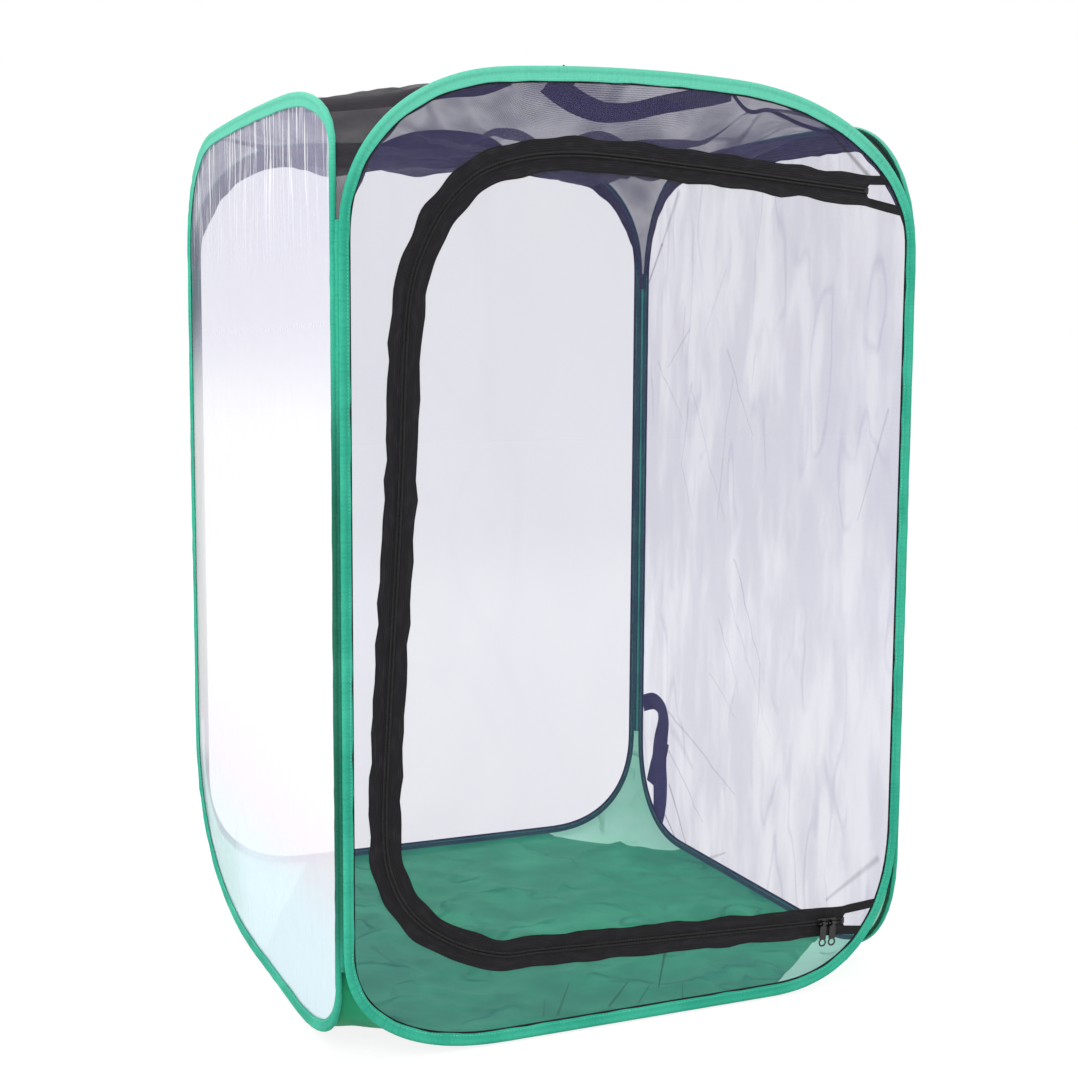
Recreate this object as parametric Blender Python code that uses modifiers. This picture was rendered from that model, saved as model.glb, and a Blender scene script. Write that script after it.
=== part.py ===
"""A pop-up insect cage. Four hoop-framed side panels are hinged at their corners and fold flat as a
parallelogram. The roof is mesh, the floor is cloth, and the front panel has a zipped mesh door.
Metres, +Z up, front at -Y, clear window at -X, and the origin at the middle of the floor's underside."""

import math

import bmesh
import bpy
from mathutils import Matrix, Vector

# Overall size
PLANE = 0.300
HEIGHT = 0.878
HOOP_LOW = 0.0012
WIRE_SETBACK = 0.006
WIRE_R = 0.0012
BINDING_R = 0.0031
BINDING_BORE = 0.0024
LEG_IN = 0.0007
LEG_OUT = 0.0014
HALF_WIDTH = PLANE - WIRE_SETBACK + BINDING_R
HINGE = PLANE - WIRE_SETBACK / 2

# The fold, in degrees
FOLD_MOST = 75.0

# Hoop corners as (run, rise) from the bottom right, anticlockwise seen from outside, then the crown
HOOPS = {
    "front": ((0.150, 0.172), (0.215, 0.131), (0.161, 0.138), (0.162, 0.110), 0.027),
    "right": ((0.130, 0.134), (0.143, 0.150), (0.143, 0.150), (0.130, 0.134), 0.012),
    "back": ((0.130, 0.134), (0.130, 0.134), (0.130, 0.134), (0.130, 0.134), 0.022),
    "left": ((0.150, 0.078), (0.164, 0.056), (0.142, 0.131), (0.290, 0.200), 0.009),
}
TURNS = {"front": 0, "right": 1, "back": 2, "left": 3}
ROUNDNESS = 2.35
CORNER_STEPS = 9
TOP_STEPS = 6

# Cloth and sheet
SHEET = 0.0008
SHEET_INSET = 0.0032
LEG_TOP = 0.0104
LEG_BOTTOM = 0.0090
LEG_SIDE = 0.0064
FERRULE_LENGTH = 0.018
FERRULE_R = 0.0018
FERRULE_BORE = 0.0014
HEM_WIDE = {"front": 0.008, "left": 0.008, "right": 0.022, "back": 0.022}
HEM_NARROW = 0.008
SEAM_IN = 0.0036
SEAM_DOWN = 0.0020
ROOF_SAG = 0.036
ROOF_FALL = 0.045
ROOF_POCKET = 0.024

# The zip: its run along the bottom is straight, and the left slider travels on it
ZIP_SLOPE = math.radians(-2.5)
ZIP_LOW = (0.2305, 0.0708)
ZIP_BEND = -0.145
ZIP_TURNS = (
    (-0.1857, 0.1015),
    (-0.2248, 0.1285),
    (-0.2487, 0.1640),
    (-0.2585, 0.2150),
    (-0.2535, 0.3380),
    (-0.2430, 0.5173),
    (-0.2355, 0.6800),
    (-0.2186, 0.7423),
    (-0.1890, 0.7870),
    (-0.1481, 0.8130),
    (-0.0750, 0.8255),
    (0.0532, 0.8190),
    (0.1623, 0.8109),
    (0.2360, 0.8055),
)
ZIP_HALF_GAP = 0.0006
TAPE_HALF = 0.0155
COIL_HALF = 0.0030
MESH_FROM_ZIP = 0.007
TAPE_OUT = (0.0007, 0.0014)
COIL_OUT = (0.0017, 0.0033)

# The door turns about a vertical line just outside the zip
DOOR_X = 0.198
DOOR_GAP = 0.0005
DOOR_OUT = 0.004

# Sliders and pulls
SLIDER_X = (0.206, 0.217)
SLIDER_LENGTH = 0.0105
SLIDER_HALF = 0.0046
SLIDER_WEB = 0.0003
BAR_OUT = 0.0074
BAR_R = 0.0009
EYE_R = 0.0023
EYE_BORE = 0.00125
PULL_HALF = 0.0036
PULL_RING_DOWN = 0.0195

# Webbing
WEBBING = 0.0012
HANDLE_WIDTH = 0.025
HANDLE_SPAN = 0.152
HANDLE_DEPTH = 0.040
HANDLE_IN = 0.0058
HANDLE_DOWN = 0.0075
FRONT_HANDLE_SLOPE = math.radians(-45.0)
BACK_HANDLE_SLOPE = math.radians(15.0)
FRONT_HANDLE_X = -0.007
BACK_HANDLE_X = 0.012
STRAP_WIDTH = 0.022

for old in list(bpy.data.objects):
    bpy.data.objects.remove(old, do_unlink=True)

cage = bpy.data.collections.new("insect_cage")
bpy.context.scene.collection.children.link(cage)
helpers = bpy.data.collections.new("helpers")
bpy.context.scene.collection.children.link(helpers)


def material(name, color, roughness=0.6, metallic=0.0, alpha=1.0):
    made = bpy.data.materials.new(name)
    made.use_nodes = True
    shader = made.node_tree.nodes["Principled BSDF"]
    shader.inputs["Base Color"].default_value = (*color, 1.0)
    shader.inputs["Roughness"].default_value = roughness
    shader.inputs["Metallic"].default_value = metallic
    shader.inputs["Alpha"].default_value = alpha
    return made


green_polyester = material("green_polyester", (0.10, 0.62, 0.48), 0.55)
black_mesh = material("black_mesh", (0.03, 0.03, 0.04), 0.8)
clear_vinyl = material("clear_vinyl", (0.85, 0.92, 0.95), 0.1, alpha=0.35)
zipper_tape = material("zipper_tape", (0.02, 0.02, 0.025), 0.7)
zip_coil = material("zip_coil", (0.03, 0.03, 0.03), 0.4)
slider_metal = material("slider_metal", (0.05, 0.05, 0.055), 0.35, 0.6)
webbing = material("webbing", (0.015, 0.015, 0.02), 0.75)
hem_tape = material("hem_tape", (0.04, 0.045, 0.06), 0.75)
spring_steel = material("spring_steel", (0.55, 0.56, 0.58), 0.3, 1.0)
ferrule_metal = material("ferrule_metal", (0.7, 0.7, 0.7), 0.4, 1.0)


# Placing nodes on their bodies


def empty(name, place, parent=None):
    made = bpy.data.objects.new(name, None)
    made.empty_display_size = 0.03
    cage.objects.link(made)
    made.parent = parent
    above = parent.matrix_world.inverted() if parent else Matrix()
    made.matrix_basis = above @ place
    bpy.context.view_layer.update()
    return made


def put(made, place, parent, where=cage):
    where.objects.link(made)
    made.parent = parent
    made.matrix_basis = parent.matrix_world.inverted() @ place
    return made


def panel_place(name):
    """Panel coordinates to world: x runs along the panel, y goes up, z points out of the cage."""
    turn = Matrix.Rotation(TURNS[name] * math.pi / 2, 4, "Z")
    return turn @ Matrix.Translation((0, -PLANE, 0)) @ Matrix.Rotation(math.pi / 2, 4, "X")


# The bodies, each with its empty on the joint's axis
back_body = empty("back_panel", Matrix())
left_body = empty("left_panel", Matrix.Translation((-HINGE, HINGE, 0)), back_body)
right_body = empty("right_panel", Matrix.Translation((HINGE, HINGE, 0)), back_body)
front_body = empty("front_panel", Matrix.Translation((-HINGE, -HINGE, 0)), left_body)
door_body = empty("door", Matrix.Translation((DOOR_X, -PLANE - DOOR_OUT, 0)), front_body)
BODIES = {"front": front_body, "right": right_body, "back": back_body, "left": left_body}


# Shapes


def mesh_node(name, points, faces, mat, place, parent, smooth=False, where=cage):
    data = bpy.data.meshes.new(name)
    data.from_pydata([tuple(p) for p in points], [], faces)
    data.materials.append(mat)
    shell = bmesh.new()
    shell.from_mesh(data)
    bmesh.ops.recalc_face_normals(shell, faces=shell.faces)
    shell.to_mesh(data)
    shell.free()
    data.shade_smooth() if smooth else data.shade_flat()
    return put(bpy.data.objects.new(name, data), place, parent, where)


def loft(rings, closed):
    """Points and faces of a tube through the rings, joined end to start or capped."""
    count = len(rings[0])
    points = [p for ring in rings for p in ring]
    faces = []
    last = len(rings) if closed else len(rings) - 1
    for i in range(last):
        j = (i + 1) % len(rings)
        for a in range(count):
            b = (a + 1) % count
            faces.append((i * count + a, i * count + b, j * count + b, j * count + a))
    if not closed:
        faces.append(tuple(range(count)))
        faces.append(tuple(range(len(points) - 1, len(points) - 1 - count, -1)))
    return points, faces


def flat_node(name, outline, low, high, mat, place, parent):
    """A flat sheet of this outline, from low to high along the panel's outward direction."""
    curve = bpy.data.curves.new(name, "CURVE")
    curve.dimensions = "2D"
    curve.fill_mode = "BOTH"
    curve.extrude = (high - low) / 2
    spline = curve.splines.new("POLY")
    spline.points.add(len(outline) - 1)
    for point, (x, y) in zip(spline.points, outline):
        point.co = (x, y, 0, 1)
    spline.use_cyclic_u = True
    curve.materials.append(mat)
    lifted = place @ Matrix.Translation((0, 0, (low + high) / 2))
    return put(bpy.data.objects.new(name, curve), lifted, parent)


def wire_node(name, path, radius, mat, place, parent):
    curve = bpy.data.curves.new(name, "CURVE")
    curve.dimensions = "3D"
    curve.bevel_depth = radius
    curve.bevel_resolution = 1
    curve.use_fill_caps = True
    spline = curve.splines.new("POLY")
    spline.points.add(len(path) - 1)
    for point, p in zip(spline.points, path):
        point.co = (*p, 1)
    curve.materials.append(mat)
    return put(bpy.data.objects.new(name, curve), place, parent)


def grid_node(name, rows, thickness, mat, place, parent, ring=False):
    """A thin sheet through rows of points. With ring set, each row closes and the last one is a hub."""
    count = len(rows[0])
    points = [p for row in rows for p in row]
    faces = []
    across = count if ring else count - 1
    for i in range(len(rows) - 1):
        for a in range(across):
            b = (a + 1) % count
            faces.append((i * count + a, i * count + b, (i + 1) * count + b, (i + 1) * count + a))
    if ring:
        first = (len(rows) - 1) * count
        hub = sum((Vector(p) for p in rows[-1]), Vector()) / count
        points.append(hub)
        for a in range(count):
            faces.append((first + a, first + (a + 1) % count, len(points) - 1))
    node = mesh_node(name, points, faces, mat, place, parent, smooth=True)
    thick = node.modifiers.new("thickness", "SOLIDIFY")
    thick.thickness = thickness
    thick.offset = 0.0
    thick.use_even_offset = True
    return node


def ribbon(path, width, thickness, facing):
    """Rings of a webbing band along the path, its face turned towards the given direction."""
    rings = []
    for i, here in enumerate(path):
        ahead = path[min(i + 1, len(path) - 1)] - path[max(i - 1, 0)]
        along = ahead.normalized()
        normal = (facing - along * facing.dot(along)).normalized()
        side = along.cross(normal)
        ring = []
        for a, b in ((-1, -1), (1, -1), (1, 1), (-1, 1)):
            ring.append(here + side * (a * width / 2) + normal * (b * thickness / 2))
        rings.append(ring)
    return rings


def smooth_path(knots, steps):
    """A curve through the knots, with this many steps between each two."""
    made = []
    for i in range(len(knots) - 1):
        a = knots[max(i - 1, 0)]
        b = knots[i]
        c = knots[i + 1]
        d = knots[min(i + 2, len(knots) - 1)]
        for k in range(steps):
            t = k / steps
            made.append(
                b
                + (c - a) * (0.5 * t)
                + (a * 2 - b * 5 + c * 4 - d) * (0.5 * t * t)
                + (b * 3 - a - c * 3 + d) * (0.5 * t**3)
            )
    made.append(knots[-1])
    return made


# Hoop outlines


class Hoop:
    """The outer edge of one hoop, its inward normals and the reach of its binding's legs."""

    def __init__(self, name):
        self.name = name
        self.place = panel_place(name)
        self.body = BODIES[name]
        low_right, top_right, top_left, low_left, self.bow = HOOPS[name]
        self.corners = HOOPS[name][:4]
        self.points = [Vector((0, HOOP_LOW))]
        self.arc(low_right, 1, HOOP_LOW, 1, True)
        self.right_top = len(self.points)
        self.arc(top_right, 1, HEIGHT, -1, False)
        start = HALF_WIDTH - top_right[0]
        end = top_left[0] - HALF_WIDTH
        for k in range(1, TOP_STEPS):
            self.points.append(Vector((start + (end - start) * k / TOP_STEPS, HEIGHT)))
        self.left_top = len(self.points)
        self.arc(top_left, -1, HEIGHT, -1, True)
        self.left_low = len(self.points)
        self.arc(low_left, -1, HOOP_LOW, 1, False)
        for p in self.points:
            up = min(max((p.y / HEIGHT - 0.5) * 2, 0), 1)
            p.y += self.bow * up * up * (1 - (p.x / HALF_WIDTH) ** 2)
        count = len(self.points)
        self.normals = []
        self.radii = []
        for i in range(count):
            back = self.points[i] - self.points[i - 1]
            ahead = self.points[(i + 1) % count] - self.points[i]
            along = back.normalized() + ahead.normalized()
            self.normals.append(Vector((-along.y, along.x)).normalized())
            turn = max(back.angle(ahead), 1e-4)
            self.radii.append((back.length + ahead.length) / 2 / turn)
        self.legs = []
        for normal, radius in zip(self.normals, self.radii):
            reach = LEG_TOP if normal.y < 0 else LEG_BOTTOM
            leg = LEG_SIDE + (reach - LEG_SIDE) * normal.y**2
            self.legs.append(min(leg, 0.7 * radius - BINDING_R))

    def arc(self, corner, side, level, upward, from_level):
        run, rise = corner
        steps = range(CORNER_STEPS + 1)
        for k in reversed(steps) if from_level else steps:
            angle = k / CORNER_STEPS * math.pi / 2
            x = HALF_WIDTH - run + run * max(math.cos(angle), 0) ** (2 / ROUNDNESS)
            y = rise - rise * max(math.sin(angle), 0) ** (2 / ROUNDNESS)
            self.points.append(Vector((side * x, level + upward * y)))

    def at(self, i, inward, out=0.0):
        """Point i moved inward from the wire's centre line, in panel coordinates."""
        p = self.points[i] + self.normals[i] * (BINDING_R + inward)
        return Vector((p.x, p.y, out))

    def loop(self, inward):
        return [self.at(i, inward).xy for i in range(len(self.points))]

    def world(self, i, inward, out):
        return self.place @ self.at(i, inward, out)


hoops = {name: Hoop(name) for name in HOOPS}


def binding_section(leg):
    """The folded tape round the wire: (inward, out) pairs, open towards the panel."""
    inner = []
    outer = []
    for k in range(1, 6):
        angle = k * math.pi / 3
        inner.append((BINDING_BORE * math.cos(angle), BINDING_BORE * math.sin(angle)))
        outer.append((BINDING_R * math.cos(angle), BINDING_R * math.sin(angle)))
    start_in = (math.sqrt(BINDING_BORE**2 - LEG_IN**2), LEG_IN)
    start_out = (math.sqrt(BINDING_R**2 - LEG_OUT**2), LEG_OUT)
    inside = [start_in] + inner + [(start_in[0], -LEG_IN), (leg, -LEG_IN)]
    outside = [(leg, -LEG_OUT), (start_out[0], -LEG_OUT)] + outer[::-1]
    return [(leg, LEG_IN)] + inside + outside + [start_out, (leg, LEG_OUT)]


for name, hoop in hoops.items():
    count = len(hoop.points)
    rings = []
    for i in range(count):
        ring = [hoop.at(i, inward, out) for inward, out in binding_section(hoop.legs[i])]
        rings.append(ring)
    points, faces = loft(rings, True)
    mesh_node(f"{name}_binding", points, faces, green_polyester, hoop.place, hoop.body, True)

    path = [Vector((0.001, HOOP_LOW + BINDING_R, 0))]
    path += [hoop.at(i, 0) for i in range(1, count)]
    path.append(Vector((-0.001, HOOP_LOW + BINDING_R, 0)))
    wire_node(f"{name}_hoop_wire", path, WIRE_R, spring_steel, hoop.place, hoop.body)

    rings = []
    for k in range(10):
        angle = k * math.pi / 5
        ring = []
        for x, radius in ((-1, FERRULE_BORE), (1, FERRULE_BORE), (1, FERRULE_R), (-1, FERRULE_R)):
            y = HOOP_LOW + BINDING_R + radius * math.cos(angle)
            ring.append(Vector((x * FERRULE_LENGTH / 2, y, radius * math.sin(angle))))
        rings.append(ring)
    points, faces = loft(rings, True)
    mesh_node(f"{name}_ferrule", points, faces, ferrule_metal, hoop.place, hoop.body, True)

    # The hem tape inside the hoop's top, wide along the top run and narrow at the corners
    rings = []
    first = hoop.right_top
    last = hoop.left_top + CORNER_STEPS
    for i in range(first, last + 1):
        steps_in = min(i - first, last - i, CORNER_STEPS) / CORNER_STEPS
        width = HEM_NARROW + (HEM_WIDE[name] - HEM_NARROW) * steps_in**1.5
        far = min(SHEET_INSET + width, 0.75 * hoop.radii[i] - BINDING_R)
        ring = []
        for inward, out in ((SHEET_INSET, 1), (far, 1), (far, 0), (SHEET_INSET, 0)):
            ring.append(hoop.at(i, inward, -0.0024 + 0.0007 * out))
        rings.append(ring)
    points, faces = loft(rings, False)
    mesh_node(f"{name}_hem_tape", points, faces, hem_tape, hoop.place, hoop.body)

half = SHEET / 2
for name, node, mat in (
    ("back", "back_mesh", black_mesh),
    ("right", "right_mesh", black_mesh),
    ("left", "left_window", clear_vinyl),
):
    hoop = hoops[name]
    flat_node(node, hoop.loop(SHEET_INSET), -half, half, mat, hoop.place, hoop.body)


# The zip's path and the flat pieces beside it, in the front panel's coordinates


def along_zip(x):
    """A point on the straight bottom run."""
    return Vector((x, ZIP_LOW[1] + (x - ZIP_LOW[0]) * math.tan(ZIP_SLOPE)))


knots = [along_zip(ZIP_LOW[0]), along_zip(ZIP_BEND + 0.03), along_zip(ZIP_BEND)]
knots += [Vector(p) for p in ZIP_TURNS]
zip_path = knots[:2] + smooth_path(knots, 2)[4:]
low_way = (zip_path[0] - zip_path[1]).normalized()
top_way = (zip_path[-1] - zip_path[-2]).normalized()
TAIL = 0.05


def beside(path, i, offset):
    """Point i moved towards the door, or away from it where the offset is negative."""
    back = path[i] - path[max(i - 1, 0)]
    ahead = path[min(i + 1, len(path) - 1)] - path[i]
    along = back.normalized() + ahead.normalized()
    along.normalize()
    return path[i] + Vector((along.y, -along.x)) * offset


def band(path, near, far, side, fan=0.0):
    """The outline of a strip on one side of the path. With fan, its two tails turn away."""
    inner = [beside(path, i, side * near) for i in range(len(path))]
    outer = [beside(path, i, side * far) for i in range(len(path))]
    if fan:
        across_low = Vector((-low_way.y, low_way.x)) * side
        across_top = Vector((top_way.y, -top_way.x)) * side
        low_move = (low_way + across_low * fan) * TAIL
        top_move = (top_way + across_top * fan) * TAIL
        inner = [inner[0] + low_move] + inner + [inner[-1] + top_move]
        outer = [outer[0] + low_move] + outer + [outer[-1] + top_move]
    return inner + outer[::-1]


def clip(outline, at, inward):
    """The outline's part on the inward side of a line through this point."""
    made = []
    for i, b in enumerate(outline):
        a = outline[i - 1]
        da = (a - at).dot(inward)
        db = (b - at).dot(inward)
        if (da < 0) != (db < 0):
            made.append(a + (b - a) * (da / (da - db)))
        if db >= 0:
            made.append(b)
    return made


def clip_to(outline, loop):
    """The outline's part inside a convex loop that runs anticlockwise."""
    for i, b in enumerate(loop):
        along = b - loop[i - 1]
        outline = clip(outline, loop[i - 1], Vector((-along.y, along.x)))
    return outline


def left_of_door_line(outline):
    return clip(outline, Vector((DOOR_X - DOOR_GAP, 0)), Vector((-1, 0)))


def right_of_door_line(outline):
    return clip(outline, Vector((DOOR_X + DOOR_GAP, 0)), Vector((1, 0)))


def meets(loop, start, way):
    """Where a ray from inside first leaves the loop, as (index of the edge's start, point)."""
    across = Vector((-way.y, way.x))
    for i, a in enumerate(loop):
        b = loop[(i + 1) % len(loop)]
        da = (a - start).dot(across)
        db = (b - start).dot(across)
        if (da < 0) != (db < 0):
            hit = a + (b - a) * (da / (da - db))
            if (hit - start).dot(way) > 0:
                return i, hit
    return None


front = hoops["front"]
front_loop = front.loop(SHEET_INSET)
tips = [front.at(i, front.legs[i] + 0.0005).xy for i in range(len(front.points))]
halfway = len(zip_path) // 2
low_half = zip_path[: halfway + 1]
top_half = zip_path[halfway:]

panel_edge = [beside(zip_path, i, -MESH_FROM_ZIP) for i in range(len(zip_path))]
low_i, low_hit = meets(front_loop, panel_edge[0], low_way)
top_i, top_hit = meets(front_loop, panel_edge[-1], top_way)
surround = [top_hit] + front_loop[top_i + 1 :] + front_loop[: low_i + 1] + [low_hit] + panel_edge
flat_node("front_mesh", surround, -half, half, black_mesh, front.place, front.body)

door_edge = [beside(zip_path, i, MESH_FROM_ZIP) for i in range(len(zip_path))]
door_outline = left_of_door_line(door_edge)
flat_node("door_mesh", door_outline, -half, half, black_mesh, front.place, door_body)
strip = right_of_door_line(front_loop)
strip = clip(strip, door_edge[0], Vector((-low_way.y, low_way.x)))
strip = clip(strip, door_edge[-1], Vector((top_way.y, -top_way.x)))
flat_node("hinge_strip", strip, -half, half, black_mesh, front.place, front.body)

outer_tape = clip_to(band(zip_path, ZIP_HALF_GAP, TAPE_HALF, -1, 0.6), tips)
inner_tape = clip_to(band(zip_path, ZIP_HALF_GAP, TAPE_HALF, 1, 0.6), tips)
low_tape = clip_to(band(low_half, ZIP_HALF_GAP, TAPE_HALF, 1, 0.0), tips)
flat_node("zip_tape_outer", outer_tape, *TAPE_OUT, zipper_tape, front.place, front.body)
flat_node(
    "zip_tape_inner", left_of_door_line(inner_tape), *TAPE_OUT, zipper_tape, front.place, door_body
)
fanned = band(zip_path, ZIP_HALF_GAP, TAPE_HALF, 1, 0.6)
count = len(zip_path) + 2
low_end = fanned[:3] + fanned[-3:]
top_end = fanned[count - 4 : count + 4]
for node, outline in (("zip_tape_bottom_end", low_end), ("zip_tape_top_end", top_end)):
    outline = clip_to(right_of_door_line(outline), tips)
    flat_node(node, outline, *TAPE_OUT, zipper_tape, front.place, front.body)

outer_coil = band(zip_path, ZIP_HALF_GAP, COIL_HALF, -1)
inner_coil = band(zip_path, ZIP_HALF_GAP, COIL_HALF, 1)
flat_node("zip_coil_outer", outer_coil, *COIL_OUT, zip_coil, front.place, front.body)
flat_node(
    "zip_coil_inner", left_of_door_line(inner_coil), *COIL_OUT, zip_coil, front.place, door_body
)
for node, path in (("zip_coil_bottom_end", low_half), ("zip_coil_top_end", top_half)):
    outline = right_of_door_line(band(path, ZIP_HALF_GAP, COIL_HALF, 1))
    flat_node(node, outline, *COIL_OUT, zip_coil, front.place, front.body)

for node, end, way in (
    ("zip_bottom_stop", zip_path[0], low_way),
    ("zip_top_stop", zip_path[-1], top_way),
):
    across = Vector((-way.y, way.x)) * 0.0032
    near = end + way * 0.0004
    far = end + way * 0.0030
    outline = [near - across, far - across, far + across, near + across]
    flat_node(node, outline, *COIL_OUT, slider_metal, front.place, front.body)


# Sliders and pulls


def joined(name, shapes, cuts, mat, place, parent):
    """One closed body: the first shape with the others added and the cuts taken out."""
    base = shapes[0]
    base.name = name
    helpers.objects.unlink(base)
    base.data.materials.clear()
    base.data.materials.append(mat)
    for operation, others in (("UNION", shapes[1:]), ("DIFFERENCE", cuts)):
        for other in others:
            other.hide_render = True
            other.display_type = "WIRE"
            put_on = base.modifiers.new(operation.lower(), "BOOLEAN")
            put_on.operation = operation
            put_on.solver = "EXACT"
            put_on.object = other
    for other in shapes[1:] + cuts:
        other.parent = parent
        other.matrix_basis = parent.matrix_world.inverted() @ place
    return put(base, place, parent)


def helper(name, points, faces):
    data = bpy.data.meshes.new(name)
    data.from_pydata([tuple(p) for p in points], [], faces)
    shell = bmesh.new()
    shell.from_mesh(data)
    bmesh.ops.recalc_face_normals(shell, faces=shell.faces)
    shell.to_mesh(data)
    shell.free()
    made = bpy.data.objects.new(name, data)
    helpers.objects.link(made)
    return made


def box(name, low, high):
    ring = ((0, 0), (1, 0), (1, 1), (0, 1))
    corners = (low, high)
    rings = []
    for k in (0, 1):
        rings.append([Vector((corners[a][0], corners[b][1], corners[k][2])) for a, b in ring])
    return helper(name, *loft(rings, False))


def tube(name, centre, radius, half_length, sides=12):
    """A solid cylinder along x."""
    rings = []
    for x in (-half_length, half_length):
        ring = []
        for k in range(sides):
            angle = k * 2 * math.pi / sides
            y = radius * math.cos(angle)
            z = radius * math.sin(angle)
            ring.append(Vector(centre) + Vector((x, y, z)))
        rings.append(ring)
    return helper(name, *loft(rings, False))


def ring_shape(name, centre, middle, thick, around=16, sides=6):
    """A closed ring facing out of the panel."""
    rings = []
    for k in range(around):
        angle = k * 2 * math.pi / around
        way = Vector((math.cos(angle), math.sin(angle), 0))
        ring = []
        for j in range(sides):
            turn = j * 2 * math.pi / sides
            r = middle + thick * math.cos(turn)
            ring.append(Vector(centre) + way * r + Vector((0, 0, thick * math.sin(turn))))
        rings.append(ring)
    return helper(name, *loft(rings, True))


slider_faces = {}
for side, at_x in zip(("left", "right"), SLIDER_X):
    at = along_zip(at_x)
    tilt = Matrix.Rotation(ZIP_SLOPE, 4, "Z")
    spot = front.place @ Matrix.Translation((at.x, at.y, 0)) @ tilt
    body = empty(f"slider_{side}_body", spot, front_body)
    long = SLIDER_LENGTH / 2
    section = []
    for y, z in (
        (-SLIDER_HALF, -0.0009),
        (SLIDER_HALF, -0.0009),
        (SLIDER_HALF, 0.00035),
        (SLIDER_WEB, 0.00035),
        (SLIDER_WEB, 0.0036),
        (SLIDER_HALF, 0.0036),
        (SLIDER_HALF, 0.0047),
        (-SLIDER_HALF, 0.0047),
        (-SLIDER_HALF, 0.0036),
        (-SLIDER_WEB, 0.0036),
        (-SLIDER_WEB, 0.00035),
        (-SLIDER_HALF, 0.00035),
    ):
        section.append((y, z))
    rings = [[Vector((x, y, z)) for y, z in section] for x in (-long, long)]
    plates = helper(f"plates_{side}", *loft(rings, False))
    feet = []
    for end in (-1, 1):
        low = (end * 0.0040 - 0.0007, -0.0010, 0.0042)
        high = (end * 0.0040 + 0.0007, 0.0010, BAR_OUT)
        feet.append(box(f"foot_{side}_{end}", low, high))
    bar = tube(f"bar_{side}", (0, 0, BAR_OUT), BAR_R, 0.0047)
    joined(f"slider_{side}", [plates] + feet + [bar], [], slider_metal, spot, body)

    hang = spot @ Matrix.Translation((0, 0, BAR_OUT))
    swing = empty(f"pull_{side}_body", hang, body)
    tab = box(f"tab_{side}", (-PULL_HALF, -0.0160, -0.0006), (PULL_HALF, -0.0026, 0.0006))
    neck = box(f"neck_{side}", (-0.0015, -0.0030, -0.0006), (0.0015, -0.0016, 0.0006))
    eye = tube(f"eye_{side}", (0, 0, 0), EYE_R, 0.0015)
    bore = tube(f"bore_{side}", (0, 0, 0), EYE_BORE, 0.0020)
    end_ring = ring_shape(f"end_ring_{side}", (0, -PULL_RING_DOWN, 0), 0.0036, 0.0009)
    joined(f"pull_{side}", [tab, neck, eye, end_ring], [bore], slider_metal, hang, swing)


# The roof, and the gussets that close the corners above and below


def crown(across, bow):
    return bow * max(1 - (across / HALF_WIDTH) ** 2, 0)


def eased(t):
    t = min(max(t, 0), 1)
    return t * t * (3 - 2 * t)


def roof_z(x, y):
    """The height of the roof mesh's middle, sagging from the hoops, and more under the front handle."""
    from_sides = max(PLANE - abs(x), 1e-4)
    from_ends = max(PLANE - abs(y), 1e-4)
    share = from_sides / (from_sides + from_ends)
    front_bow, right_bow, back_bow, left_bow = (HOOPS[name][4] for name in TURNS)
    end_bow = (front_bow + back_bow) / 2 + (back_bow - front_bow) / 2 * y / PLANE
    side_bow = (right_bow + left_bow) / 2 + (right_bow - left_bow) / 2 * x / PLANE
    level = HEIGHT - BINDING_R - SEAM_DOWN
    level += crown(x, end_bow) * share + crown(y, side_bow) * (1 - share)
    near = min(from_sides, from_ends)
    level -= ROOF_SAG * (1 - math.exp(-near / ROOF_FALL))
    behind = y + PLANE
    pocket = eased(behind / 0.045) * (1 - eased((behind - 0.06) / 0.09))
    return level - ROOF_POCKET * pocket * (1 - eased((abs(x - FRONT_HANDLE_X) - 0.1) / 0.075))


def edge_from_seam(hoop, side, top):
    """A hoop's seam line at one corner, from where the hoops part to the end of its curve."""
    if top:
        order = range(hoop.right_top, hoop.right_top + CORNER_STEPS + 1)
        if side < 0:
            order = range(hoop.left_top + CORNER_STEPS, hoop.left_top - 1, -1)
    else:
        order = range(1 + CORNER_STEPS, 0, -1)
        if side < 0:
            order = range(hoop.left_low, hoop.left_low + CORNER_STEPS + 1)
    return [hoop.world(i, SEAM_DOWN, -SEAM_IN) for i in order]


def spread(path, count):
    """The path resampled at equal steps."""
    lengths = [0.0]
    for a, b in zip(path, path[1:]):
        lengths.append(lengths[-1] + (b - a).length)
    made = []
    j = 0
    for k in range(count):
        want = lengths[-1] * k / (count - 1)
        while j < len(path) - 2 and lengths[j + 1] < want:
            j += 1
        share = (want - lengths[j]) / (lengths[j + 1] - lengths[j])
        made.append(path[j].lerp(path[j + 1], min(share, 1)))
    return made


GUSSET_ROWS = 13
GUSSET_ACROSS = 7
CORNERS = (
    ("front_left", "left", 1, "front", -1),
    ("front_right", "front", 1, "right", -1),
    ("back_right", "right", 1, "back", -1),
    ("back_left", "back", 1, "left", -1),
)


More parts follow.
